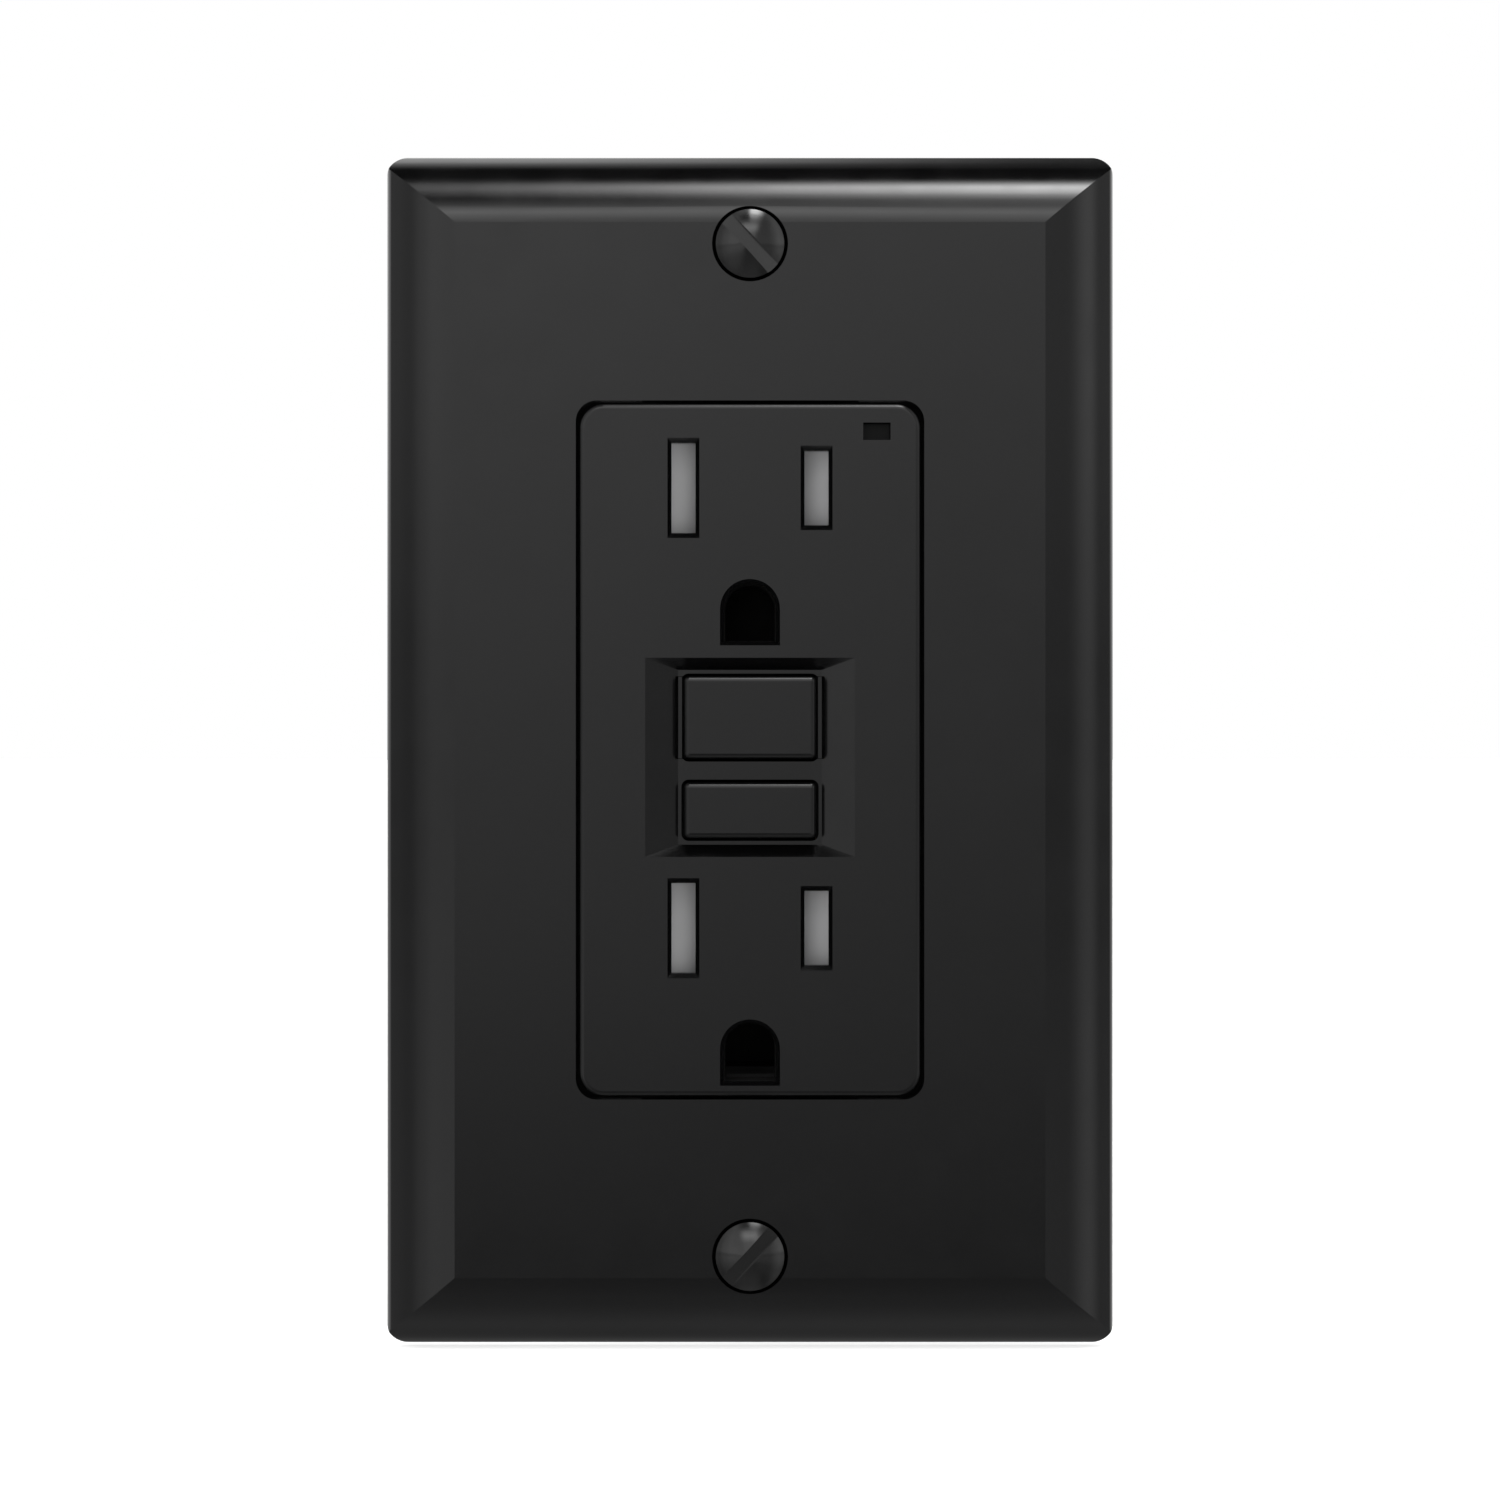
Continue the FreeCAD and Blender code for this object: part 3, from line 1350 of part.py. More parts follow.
def wire_clamp(side, z):
    """The plate that the terminal screw draws out against the wires."""
    clamp = Piece("wire_clamp")
    ends = sorted((f"{side} * clamp_inner", f"{side} * clamp_outer"), key=value)
    shape = rect("y_terminal_screw - 4", "y_terminal_screw + 4", f"{z} - 4.3", f"{z} + 4.3")
    clamp.pad("YZ", [shape, circle("y_terminal_screw", z, "eight_radius + fit_gap")], *ends)
    return clamp.body


def terminals():
    clamps = []
    for pole, side in (("neutral", -1), ("hot", 1)):
        screws = []
        for use, z, foot in (("load", "terminal_z", "load_foot_inner"), ("line", "-terminal_z", "foot_inner")):
            terminal(f"{use}_{pole}_terminal", side, z, foot)
            screws.append(terminal_screw(side, z))
            clamps.append(wire_clamp(side, z))
        group(f"{pole}_terminal_screws", screws)
    group("wire_clamps", clamps)


# ---- rear housing -----------------------------------------------------------------------------------------


def rear_housing():
    """The rear shell: side windows for the terminal screws, wire entries at the back, four screw posts."""
    shell = Piece("rear_housing")
    outer = centred("case_width / 2", "case_height / 2")
    shell.pad("XZ", [outer], "y_joint", "y_housing_back")
    shell.round("case_corner", along("Y"))
    shell.round("1", level("Y", "y_housing_back"))
    inner = centred("case_width / 2 - case_wall", "case_height / 2 - case_wall")
    shell.pocket("XZ", [inner], "y_joint", "y_housing_floor")
    tongues = [
        rect("-notch_half + 0.2", "notch_half - 0.2", "case_height / 2 - case_wall", "case_height / 2"),
        rect("-notch_half + 0.2", "notch_half - 0.2", "-case_height / 2", "-case_height / 2 + case_wall"),
    ]
    shell.pad("XZ", tongues, "0", "y_joint + 1")
    posts = [circle(f"{a} * post_x", f"{b} * post_z", "post_radius") for a in (1, -1) for b in (1, -1)]
    shell.pad("XZ", posts, "y_joint", "y_housing_floor + 0.5")
    bores = [circle(f"{a} * post_x", f"{b} * post_z", "post_bore") for a in (1, -1) for b in (1, -1)]
    shell.pocket("XZ", bores, "y_joint", "y_housing_back")
    sinks = [circle(f"{a} * post_x", f"{b} * post_z", "sunk_head_radius") for a in (1, -1) for b in (1, -1)]
    shell.pocket("XZ", sinks, "y_housing_back - sunk_depth", "y_housing_back")

    for side in (1, -1):
        ends = sorted((f"{side} * (case_width / 2 - case_wall)", f"{side} * case_width / 2"), key=value)
        windows = [
            rect("y_terminal_front + 0.8", "y_terminal_back - 0.8", f"{z} - 3.9", f"{z} + 3.9")
            for z in ("terminal_z", "-terminal_z")
        ]
        shell.pocket("YZ", windows, *ends)
    entries = [
        (f"{a} * wire_hole_x", f"{b} * terminal_z + {c} * wire_hole_z")
        for a in (1, -1)
        for b in (1, -1)
        for c in (1, -1)
    ]
    holes = [circle(x, z, "wire_hole_radius") for x, z in entries]
    shell.pocket("XZ", holes, "y_housing_floor", "y_housing_back")
    hole = circle("ground_screw_x", "ground_screw_y", "eight_radius + 0.5")
    shell.pocket("XY", [hole], "-case_height / 2", "-case_height / 2 + case_wall")
    mark_back(shell)
    shell.node()


def mark_back(shell):
    """On the back: a blank sunk panel, a rib as a strip gauge beside each pair of wires, and release slots."""
    panel = rounded("label_half_width", "label_half_height", "1")
    shell.pocket("XZ", [panel], "y_housing_back - label_depth", "y_housing_back")
    slots, ribs = [], []
    for a in (1, -1):
        for b in (1, -1):
            z = f"{b} * terminal_z"
            slots.append(centred("0.5", "release_half", f"{a} * release_x", z))
            ribs.append(centred("gauge_reach / 2", "gauge_half / 2", f"{a} * 6", f"{b} * (terminal_z + 4.6)"))
    shell.pocket("XZ", slots, "y_housing_floor + 0.6", "y_housing_back")
    shell.pad("XZ", ribs, "y_housing_back - 0.2", "y_housing_back + gauge_rise")


def housing_screws():
    """Four long screws from the back of the rear housing into the posts of the front cover."""
    screws = []
    for a in (1, -1):
        for b in (1, -1):
            screw = Piece("housing_screw")
            screw.turn(
                [
                    ("0", "-sunk_head_dome", "sunk_head_bow", -1),
                    ("sunk_head_radius - sunk_gap", "-sunk_head_rim"),
                    ("sunk_head_radius - sunk_gap", "0"),
                    ("post_bore - sunk_gap", "0"),
                    ("post_bore - sunk_gap", "housing_screw_length - housing_screw_point"),
                    ("housing_screw_tip", "housing_screw_length"),
                    ("0", "housing_screw_length"),
                ]
            )
            for half_x, half_y in (("cross_half", "cross_thick / 2"), ("cross_thick / 2", "cross_half")):
                screw.pocket("XY", [centred(half_x, half_y)], "-3", "-sunk_head_dome + cross_deep")
            spot = (f"{a} * post_x", "y_housing_back - sunk_depth", f"{b} * post_z")
            screws.append(place(screw.body, *spot, FORWARD))
    group("housing_screws", screws)


# ---- the whole outlet -------------------------------------------------------------------------------------


def build():
    wall_plate()
    wall_plate_screws()
    front_cover()
    reset_button()
    test_button()
    reset_rod()
    button_springs()
    test_contact_strip()
    indicator()
    shutters()
    mounting_strap()
    ground_contact("upper_ground_contact", "upper_z - ground_drop")
    ground_contact("lower_ground_contact", "lower_z - ground_drop")
    ground_screw()
    mounting_screws()
    contact_frame()
    bus("neutral_bus", -1)
    bus("hot_bus", 1)
    contacts()
    line_conductor("neutral_line_conductor", -1)
    line_conductor("hot_line_conductor", 1)
    latch()
    solenoid()
    circuit_board()
    terminals()
    rear_housing()
    housing_screws()
    doc.recompute()


def check():
    """Stops before anything is written if an object failed or a sub-part's shape isn't sound."""
    for obj in doc.Objects:
        if "Invalid" in obj.State or "Error" in obj.State:
            raise ValueError(f"{obj.Name} ({obj.Label}) failed: {obj.State}")
    for node in NODES:
        shape = node.Shape
        if shape.isNull() or not shape.isValid() or not shape.Solids:
            raise ValueError(f"{node.Label}: its shape isn't sound")


def write():
    os.makedirs("parts", exist_ok=True)
    for node in NODES:
        node.Shape.exportStep(os.path.join("parts", node.Label + ".step"))
    print(f"{len(NODES)} sub-parts written")


build()
check()
write()
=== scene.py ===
"""Looks for a ground-fault duplex wall outlet in a black decorator plate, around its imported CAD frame."""

import json
import math

import bmesh
import bpy
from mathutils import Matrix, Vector


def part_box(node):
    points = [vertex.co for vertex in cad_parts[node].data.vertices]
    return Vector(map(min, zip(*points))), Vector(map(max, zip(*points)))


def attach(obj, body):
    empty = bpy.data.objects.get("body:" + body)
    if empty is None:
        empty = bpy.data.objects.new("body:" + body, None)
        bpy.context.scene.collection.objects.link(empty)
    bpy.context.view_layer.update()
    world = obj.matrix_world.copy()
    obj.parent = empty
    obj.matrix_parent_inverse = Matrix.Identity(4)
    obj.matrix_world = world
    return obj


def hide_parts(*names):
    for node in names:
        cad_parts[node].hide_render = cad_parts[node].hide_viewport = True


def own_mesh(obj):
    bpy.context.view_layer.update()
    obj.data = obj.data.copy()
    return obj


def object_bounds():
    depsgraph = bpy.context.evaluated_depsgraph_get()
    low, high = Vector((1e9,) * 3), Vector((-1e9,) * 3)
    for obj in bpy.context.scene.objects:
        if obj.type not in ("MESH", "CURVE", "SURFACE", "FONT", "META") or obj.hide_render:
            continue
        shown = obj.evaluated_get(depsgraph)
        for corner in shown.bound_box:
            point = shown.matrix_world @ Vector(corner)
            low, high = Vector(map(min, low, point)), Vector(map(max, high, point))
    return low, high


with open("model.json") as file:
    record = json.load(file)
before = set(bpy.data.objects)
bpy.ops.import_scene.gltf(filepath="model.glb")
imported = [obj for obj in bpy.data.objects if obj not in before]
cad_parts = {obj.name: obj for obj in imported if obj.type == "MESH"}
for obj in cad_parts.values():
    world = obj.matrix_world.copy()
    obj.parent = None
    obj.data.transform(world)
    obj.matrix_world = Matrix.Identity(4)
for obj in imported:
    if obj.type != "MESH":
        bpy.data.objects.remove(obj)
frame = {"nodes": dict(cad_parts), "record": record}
cad_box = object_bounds()

MM = 0.001
NODES = frame["nodes"]
LOW, HIGH = cad_box

# ---- node-building helpers --------------------------------------------------------------------------------


class Shader:
    """A Principled material under construction."""

    def __init__(self, name):
        self.material = bpy.data.materials.new(name)
        self.material.use_nodes = True
        self.tree = self.material.node_tree
        self.bsdf = self.tree.nodes["Principled BSDF"]
        self.place = self.tree.nodes.new("ShaderNodeTexCoord").outputs["Object"]

    def set(self, **sockets):
        for name, value in sockets.items():
            self.bsdf.inputs[name.replace("_", " ")].default_value = value

    def node(self, kind, **settings):
        made = self.tree.nodes.new(kind)
        for name, value in settings.items():
            setattr(made, name, value)
        return made

    def link(self, source, target):
        self.tree.links.new(source, target)

    def mapped(self, scale):
        """Object coordinates stretched by a scale of three numbers."""
        mapping = self.node("ShaderNodeMapping")
        mapping.inputs["Scale"].default_value = scale
        self.link(self.place, mapping.inputs["Vector"])
        return mapping.outputs["Vector"]

    def noise(self, size_mm, detail=2.0, stretch=(1, 1, 1)):
        """Noise whose lumps are about size_mm across, longer where stretch is above 1."""
        noise = self.node("ShaderNodeTexNoise")
        noise.inputs["Scale"].default_value = 1.0
        noise.inputs["Detail"].default_value = detail
        scale = [1 / (size_mm * MM * s) for s in stretch]
        self.link(self.mapped(scale), noise.inputs["Vector"])
        return noise.outputs["Fac"]

    def ramp(self, source, stops, interpolation="LINEAR"):
        ramp = self.node("ShaderNodeValToRGB")
        ramp.color_ramp.interpolation = interpolation
        for i, (position, colour) in enumerate(stops):
            element = ramp.color_ramp.elements[i] if i < 2 else ramp.color_ramp.elements.new(position)
            element.position = position
            element.color = (*colour, 1) if isinstance(colour, tuple) else (colour, colour, colour, 1)
        self.link(source, ramp.inputs["Fac"])
        return ramp.outputs["Color"]

    def range(self, source, low, high, from_low=0.0, from_high=1.0):
        mapped = self.node("ShaderNodeMapRange")
        for name, value in (("From Min", from_low), ("From Max", from_high), ("To Min", low), ("To Max", high)):
            mapped.inputs[name].default_value = value
        self.link(source, mapped.inputs["Value"])
        return mapped.outputs["Result"]

    def colour(self, source):
        self.link(source, self.bsdf.inputs["Base Color"])

    def roughness(self, source):
        self.link(source, self.bsdf.inputs["Roughness"])

    def bump(self, source, height_mm, strength=1.0):
        """Adds one layer of bump over those already there."""
        bump = self.node("ShaderNodeBump")
        bump.inputs["Strength"].default_value = strength
        bump.inputs["Distance"].default_value = height_mm * MM
        self.link(source, bump.inputs["Height"])
        below = self.bsdf.inputs["Normal"]
        if below.is_linked:
            self.link(below.links[0].from_socket, bump.inputs["Normal"])
        self.link(bump.outputs["Normal"], below)


def shades(colour, spread):
    """A darker and a lighter shade of a colour."""
    return tuple(c * (1 - spread) for c in colour), tuple(min(1, c * (1 + spread)) for c in colour)


def moulded(name, colour, rough, grain=0.35, grain_height=0.004, spread=0.10, rough_spread=0.25):
    """Moulded plastic: faint flow mottling, uneven sheen and a fine surface grain."""
    made = Shader(name)
    made.set(IOR=1.5)
    dark, light = shades(colour, spread)
    made.colour(made.ramp(made.noise(14, 3), [(0.35, dark), (0.65, light)]))
    smooth, coarse = rough * (1 - rough_spread), rough * (1 + rough_spread)
    made.roughness(made.range(made.noise(5, 4), smooth, coarse, 0.3, 0.7))
    made.bump(made.noise(grain, 3), grain_height)
    return made


def dull_inside(made, depth_mm):
    """The spark-eroded finish of surfaces deeper behind the front than a depth, which mirror nothing back."""
    y = made.node("ShaderNodeSeparateXYZ")
    made.link(made.place, y.inputs["Vector"])
    front = LOW.y + depth_mm * MM
    blend = 0.1 * MM
    dull = made.range(y.outputs["Y"], 0.0, 0.75, front - blend, front + blend)
    outside = made.bsdf.inputs["Roughness"].links[0].from_socket
    more = made.node("ShaderNodeMath", operation="MAXIMUM")
    made.link(outside, more.inputs[0])
    made.link(dull, more.inputs[1])
    made.roughness(more.outputs["Value"])


def metal(name, colour, rough, stretch=(1, 1, 1), grain=0.3, grain_height=0.004, tarnish=None):
    """Metal with a drawn or rolled grain along its stretch, and blotches of tarnish."""
    made = Shader(name)
    made.set(Metallic=1.0)
    dull = tarnish or tuple(c * 0.72 for c in colour)
    made.colour(made.ramp(made.noise(3.5, 5), [(0.32, dull), (0.62, colour)]))
    made.roughness(made.range(made.noise(grain * 1.5, 3, stretch), rough * 0.7, rough * 1.35, 0.3, 0.7))
    made.bump(made.noise(grain, 2, stretch), grain_height)
    return made


# How deep behind the front the face and the buttons turn dull, in millimetres: inside the mouths.
DULL_DEPTH = 2.15

# ---- materials --------------------------------------------------------------------------------------------


def plate_black():
    return moulded("plate_black", (0.0018, 0.0018, 0.0019), 0.13, grain=0.5, grain_height=0.0006).material


def face_black():
    made = moulded("face_black", (0.0020, 0.0020, 0.0021), 0.12, grain=0.3, grain_height=0.0010)
    dull_inside(made, DULL_DEPTH)
    return made.material


def button_black():
    made = moulded("button_black", (0.0018, 0.0018, 0.0019), 0.12, grain=0.3, grain_height=0.0008)
    dull_inside(made, DULL_DEPTH)
    return made.material


def shutter_grey():
    return moulded(
        "shutter_grey", (0.42, 0.42, 0.425), 0.42, grain=0.2, grain_height=0.003, spread=0.06
    ).material


def screw_black():
    """Painted steel: a clear glossy skin with faint orange peel over black."""
    made = moulded("screw_black", (0.003, 0.003, 0.003), 0.16, grain=0.8, grain_height=0.002)
    made.set(Coat_Weight=0.35, Coat_Roughness=0.05)
    return made.material


def housing_black():
    """Glass-filled plastic: matte, with a spark-eroded texture."""
    return moulded(
        "housing_black", (0.020, 0.020, 0.022), 0.48, grain=0.22, grain_height=0.012, spread=0.15
    ).material


def frame_dark():
    made = moulded("frame_dark", (0.012, 0.012, 0.013), 0.6, grain=0.25, grain_height=0.006)
    made.set(Specular_IOR_Level=0.15)
    return made.material


def nylon_natural():
    made = moulded("nylon_natural", (0.72, 0.68, 0.57), 0.38, grain=0.25, grain_height=0.004, spread=0.05)
    made.set(Subsurface_Weight=0.15, Subsurface_Scale=0.6 * MM)
    return made.material


def light_pipe():
    """Smoked polycarbonate with a dulled front: nearly black until its lamp is lit."""
    made = Shader("light_pipe")
    made.set(IOR=1.5, Specular_IOR_Level=0.03, Transmission_Weight=0.3, Base_Color=(0.004, 0.004, 0.004, 1))
    made.roughness(made.range(made.noise(0.6, 3), 0.35, 0.5))
    made.bump(made.noise(0.5, 2), 0.003)
    return made.material


def lamp_package():
    return moulded("lamp_package", (0.80, 0.77, 0.60), 0.25, grain=0.2, grain_height=0.002).material


def zinc_steel():
    """Zinc-plated sheet: rolled grain, crystal spangle and a bluish cast."""
    made = metal("zinc_steel", (0.70, 0.71, 0.72), 0.34, stretch=(1, 1, 14), grain=0.16, grain_height=0.003)
    spangle = made.node("ShaderNodeTexVoronoi")
    spangle.inputs["Scale"].default_value = 1.0
    made.link(made.mapped([1 / (2.6 * MM)] * 3), spangle.inputs["Vector"])
    mix = made.node("ShaderNodeMix", data_type="RGBA", blend_type="MULTIPLY")
    mix.inputs["Factor"].default_value = 0.16
    made.link(made.bsdf.inputs["Base Color"].links[0].from_socket, mix.inputs["A"])
    made.link(spangle.outputs["Color"], mix.inputs["B"])
    made.colour(mix.outputs["Result"])
    return made.material


def spring_steel():
    return metal("spring_steel", (0.60, 0.60, 0.61), 0.24, grain=0.1, grain_height=0.002).material


def bright_steel():
    return metal(
        "bright_steel", (0.76, 0.76, 0.75), 0.18, stretch=(1, 12, 1), grain=0.08, grain_height=0.001
    ).material


def screw_steel():
    return metal(
        "screw_steel", (0.68, 0.68, 0.67), 0.27, grain=0.12, grain_height=0.003, tarnish=(0.50, 0.50, 0.49)
    ).material


def screw_brass():
    return metal(
        "screw_brass", (0.80, 0.60, 0.26), 0.26, grain=0.12, grain_height=0.003, tarnish=(0.55, 0.37, 0.14)
    ).material


def strip_brass():
    return metal(
        "strip_brass", (0.80, 0.58, 0.25), 0.27, stretch=(1, 1, 12), grain=0.12, grain_height=0.002
    ).material


def strip_bronze():
    return metal(
        "strip_bronze", (0.78, 0.44, 0.26), 0.27, stretch=(1, 1, 12), grain=0.12, grain_height=0.002
    ).material


def contact_silver():
    return metal("contact_silver", (0.86, 0.85, 0.82), 0.22, grain=0.1, grain_height=0.003).material


def ground_green():
    """Green chromate over steel: the colour thins where a driver has rubbed it."""
    made = metal(
        "ground_green", (0.05, 0.36, 0.13), 0.30, grain=0.15, grain_height=0.004, tarnish=(0.02, 0.20, 0.07)
    )
    made.set(Coat_Weight=0.35, Coat_Roughness=0.18)
    return made.material


def coil_enamel():
    made = metal(
        "coil_enamel", (0.62, 0.24, 0.08), 0.22, grain=0.1, grain_height=0.001, tarnish=(0.42, 0.13, 0.04)
    )
    made.set(Coat_Weight=0.8, Coat_Roughness=0.12)
    return made.material


def board_green():
    """Solder mask over a glass weave."""
    made = moulded("board_green", (0.015, 0.14, 0.05), 0.24, grain=0.4, grain_height=0.001, spread=0.12)
    weave = made.node("ShaderNodeTexWave", bands_direction="DIAGONAL")
    weave.inputs["Scale"].default_value = 1.0
    made.link(made.mapped([1 / (0.7 * MM)] * 3), weave.inputs["Vector"])
    made.bump(weave.outputs["Fac"], 0.004)
    return made.material


def chip_black():
    return moulded("chip_black", (0.012, 0.012, 0.013), 0.55, grain=0.12, grain_height=0.006).material


def core_tape():
    return moulded("core_tape", (0.18, 0.13, 0.07), 0.40, grain=0.3, grain_height=0.006, spread=0.25).material


def varistor_blue():
    return moulded("varistor_blue", (0.02, 0.09, 0.42), 0.22, grain=0.9, grain_height=0.02).material


def capacitor_sleeve():
    return moulded("capacitor_sleeve", (0.012, 0.014, 0.05), 0.26, grain=0.6, grain_height=0.006).material


def washer_fibre():
    return moulded(
        "washer_fibre", (0.16, 0.045, 0.025), 0.62, grain=0.15, grain_height=0.02, spread=0.25
    ).material


FINISHES = {
    plate_black: ["wall_plate"],
    face_black: ["front_cover"],
    button_black: ["reset_button", "test_button"],
    screw_black: ["wall_plate_screws"],
    housing_black: ["rear_housing", "upper_shutter_tray", "lower_shutter_tray"],
    frame_dark: ["contact_frame"],
    light_pipe: ["indicator_light_pipe"],
    lamp_package: ["indicator_lamp"],
    zinc_steel: ["mounting_strap", "latch_plate", "solenoid_bracket", "wire_clamps"],
    bright_steel: ["reset_rod", "solenoid_plunger"],
    screw_steel: ["mounting_screws", "neutral_terminal_screws", "housing_screws"],
    screw_brass: ["hot_terminal_screws"],
    strip_bronze: ["test_contact_strip", "neutral_contact_arm", "hot_contact_arm"],
    contact_silver: ["fixed_contacts", "neutral_moving_contact", "hot_moving_contact"],
    ground_green: ["ground_screw"],
    coil_enamel: ["solenoid_coil"],
    nylon_natural: ["latch_carriage", "solenoid_bobbin"],
    board_green: ["circuit_board"],
    chip_black: ["control_chip", "transformer_housing"],
    core_tape: ["transformer_cores"],
    varistor_blue: ["surge_varistor"],
    capacitor_sleeve: ["storage_capacitor"],
    washer_fibre: ["mounting_screw_retainers"],
    shutter_grey: [n for n in NODES if n.endswith("_shutter")],
    spring_steel: [n for n in NODES if n.endswith("_spring")],
    strip_brass: [n for n in NODES if n.endswith(("_terminal", "_bus", "_line_conductor", "_ground_contact"))],
}
FINISH_OF = {}
for finish, names in FINISHES.items():
    finished = finish()
    for name in names:
        FINISH_OF[name] = finished
        data = NODES[name].data
        data.materials.clear()
        data.materials.append(finished)

BODY_OF = {node: body for body, members in frame["record"]["behaviour"]["bodies"].items() for node in members}


# ---- pieces -----------------------------------------------------------------------------------------------


def smooth_by_angle(mesh, degrees=35):
    """Smooth shading with a crisp line at each edge sharper than the angle."""
    mesh.polygons.foreach_set("use_smooth", [True] * len(mesh.polygons))
    mesh.set_sharp_from_angle(angle=math.radians(degrees))


def piece(name, bm, node):
    """A finished piece made from a bmesh, which rides and looks like a CAD node."""
    mesh = bpy.data.meshes.new(name)
    bmesh.ops.recalc_face_normals(bm, faces=bm.faces)
    bm.to_mesh(mesh)
    bm.free()
    smooth_by_angle(mesh)
    obj = bpy.data.objects.new(name, mesh)
    bpy.context.scene.collection.objects.link(obj)
    mesh.materials.append(FINISH_OF[node])
    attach(obj, BODY_OF[node])
    return obj


def sweep(bm, points, radius, sides=10):
    """A round wire along a list of points, closed at both ends."""
    rings = []
    for i, point in enumerate(points):
        ahead = points[min(i + 1, len(points) - 1)] - points[max(i - 1, 0)]
        turn = ahead.to_track_quat("Z", "Y")
        ring = []
        for k in range(sides):
            angle = 2 * math.pi * k / sides
            spoke = Vector((radius * math.cos(angle), radius * math.sin(angle), 0))
            ring.append(bm.verts.new(point + turn @ spoke))
        rings.append(ring)
    for a, b in zip(rings, rings[1:]):
        shift = min(range(sides), key=lambda s: (b[s].co - a[0].co).length)
        for k in range(sides):
            after = (k + 1) % sides
            bm.faces.new((a[k], a[after], b[(after + shift) % sides], b[(k + shift) % sides]))
    bm.faces.new(rings[0])
    bm.faces.new(rings[-1])


def coil_points(length, radius, turns, wire, steps=24, closed=1.25):
    """A spring's centre line along +Z from the origin, with closed turns at both ends."""
    rise = length - 2 * wire * closed - wire
    points = []
    for i in range(int(turns * steps) + 1):
        turn = i / steps
        open_turns = turns - 2 * closed
        if turn < closed:
            z = wire * turn
        elif turn > turns - closed:
            z = length - wire - wire * (turns - turn)
        else:
            z = wire * closed + rise * (turn - closed) / open_turns
        angle = 2 * math.pi * turn
        points.append(Vector((radius * math.cos(angle), radius * math.sin(angle), z + wire / 2)))
    return points


AXES = {"x": Vector((1, 0, 0)), "y": Vector((0, 1, 0)), "z": Vector((0, 0, 1))}


def spring_piece(node, axis, toward, turns, wire):
    """Replaces a spring's tube with its wound wire."""
    low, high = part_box(node)
    index = "xyz".index(axis)
    length = high[index] - low[index]
    across = [i for i in range(3) if i != index]
    radius = (high[across[0]] - low[across[0]]) / 2 - wire / 2
    start = (low + high) / 2
    start[index] = low[index]
    turn = AXES[axis].to_track_quat("Z", "Y")
    bm = bmesh.new()
    sweep(bm, [start + turn @ p for p in coil_points(length, radius, turns, wire)], wire / 2)
    obj = piece(node + "_wire", bm, node)
    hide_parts(node)
    anchor = (low + high) / 2
    anchor[index] = high[index] if toward > 0 else low[index]
    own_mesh(obj)


def wound_springs():
    rows = [
        ("reset_spring", "reset_press", "y", 1, 9, 0.5),
        ("test_spring", "test_press", "y", 1, 11, 0.36),
        ("latch_spring", "latch_plate_slide", "z", -1, 6.5, 0.25),
        ("plunger_spring", "plunger_stroke", "z", -1, 5.5, 0.35),
    ]
    for outlet in ("upper", "lower"):
        for pole, outward in (("neutral", -1), ("hot", 1)):
            name = f"{outlet}_{pole}_shutter"
            rows.append((name + "_spring", name + "_slide", "x", outward, 8, 0.2))
    for node, joint, axis, toward, turns, wire in rows:
        spring_piece(node, axis, toward, turns, wire * MM)


def threaded_shank(bm, start, direction, length, major, pitch, tip, around=28, rows=8):
    """A threaded cylinder with a blunt conical tip, closed at both ends."""
    turn = direction.to_track_quat("Z", "Y")
    depth = 0.6 * pitch
    count = max(2, int(length / pitch * rows))
    rings = []
    for i in range(count + 1):
        z = length * i / count
        limit = major if z < length - tip else major - 0.45 * (z - (length - tip))
        ring = []
        for k in range(around):
            phase = (z / pitch - k / around) % 1
            crest = 1 - abs(2 * phase - 1)
            radius = min(limit, major - depth + depth * min(1, 1.25 * crest))
            angle = 2 * math.pi * k / around
            place = Vector((radius * math.cos(angle), radius * math.sin(angle), z))
            ring.append(bm.verts.new(start + turn @ place))
        rings.append(ring)
    for a, b in zip(rings, rings[1:]):
        for k in range(around):
            after = (k + 1) % around
            bm.faces.new((a[k], a[after], b[after], b[k]))
    bm.faces.new(rings[0])
    bm.faces.new(rings[-1])


# No. 6-32 thread, its pitch and the length of its blunt tip, and a reach wider than any of its heads.
PITCH = 0.79 * MM
TIP = 1.2 * MM
HEAD_REACH = 6 * MM


def threaded_screws(node, heads, under_head, length, major):
    """Replaces a node of screws: its own heads, cut off at the shank, on newly threaded shanks."""
    direction = AXES["y"]
    bm = bmesh.new()
    bm.from_mesh(NODES[node].data)
    for point in heads:
        base = point + direction * under_head
        near = [v for v in bm.verts if (v.co - point).cross(direction).length < HEAD_REACH]
        near_set = set(near)
        geometry = near + [e for e in bm.edges if e.verts[0] in near_set]
        geometry += [f for f in bm.faces if f.verts[0] in near_set]
        cut = bmesh.ops.bisect_plane(bm, geom=geometry, plane_co=base, plane_no=direction, clear_outer=True)
        edges = [g for g in cut["geom_cut"] if isinstance(g, bmesh.types.BMEdge)]
        bmesh.ops.holes_fill(bm, edges=edges)
        threaded_shank(bm, base, direction, length, major, PITCH, TIP)
    obj = piece(node + "_threaded", bm, node)
    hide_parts(node)


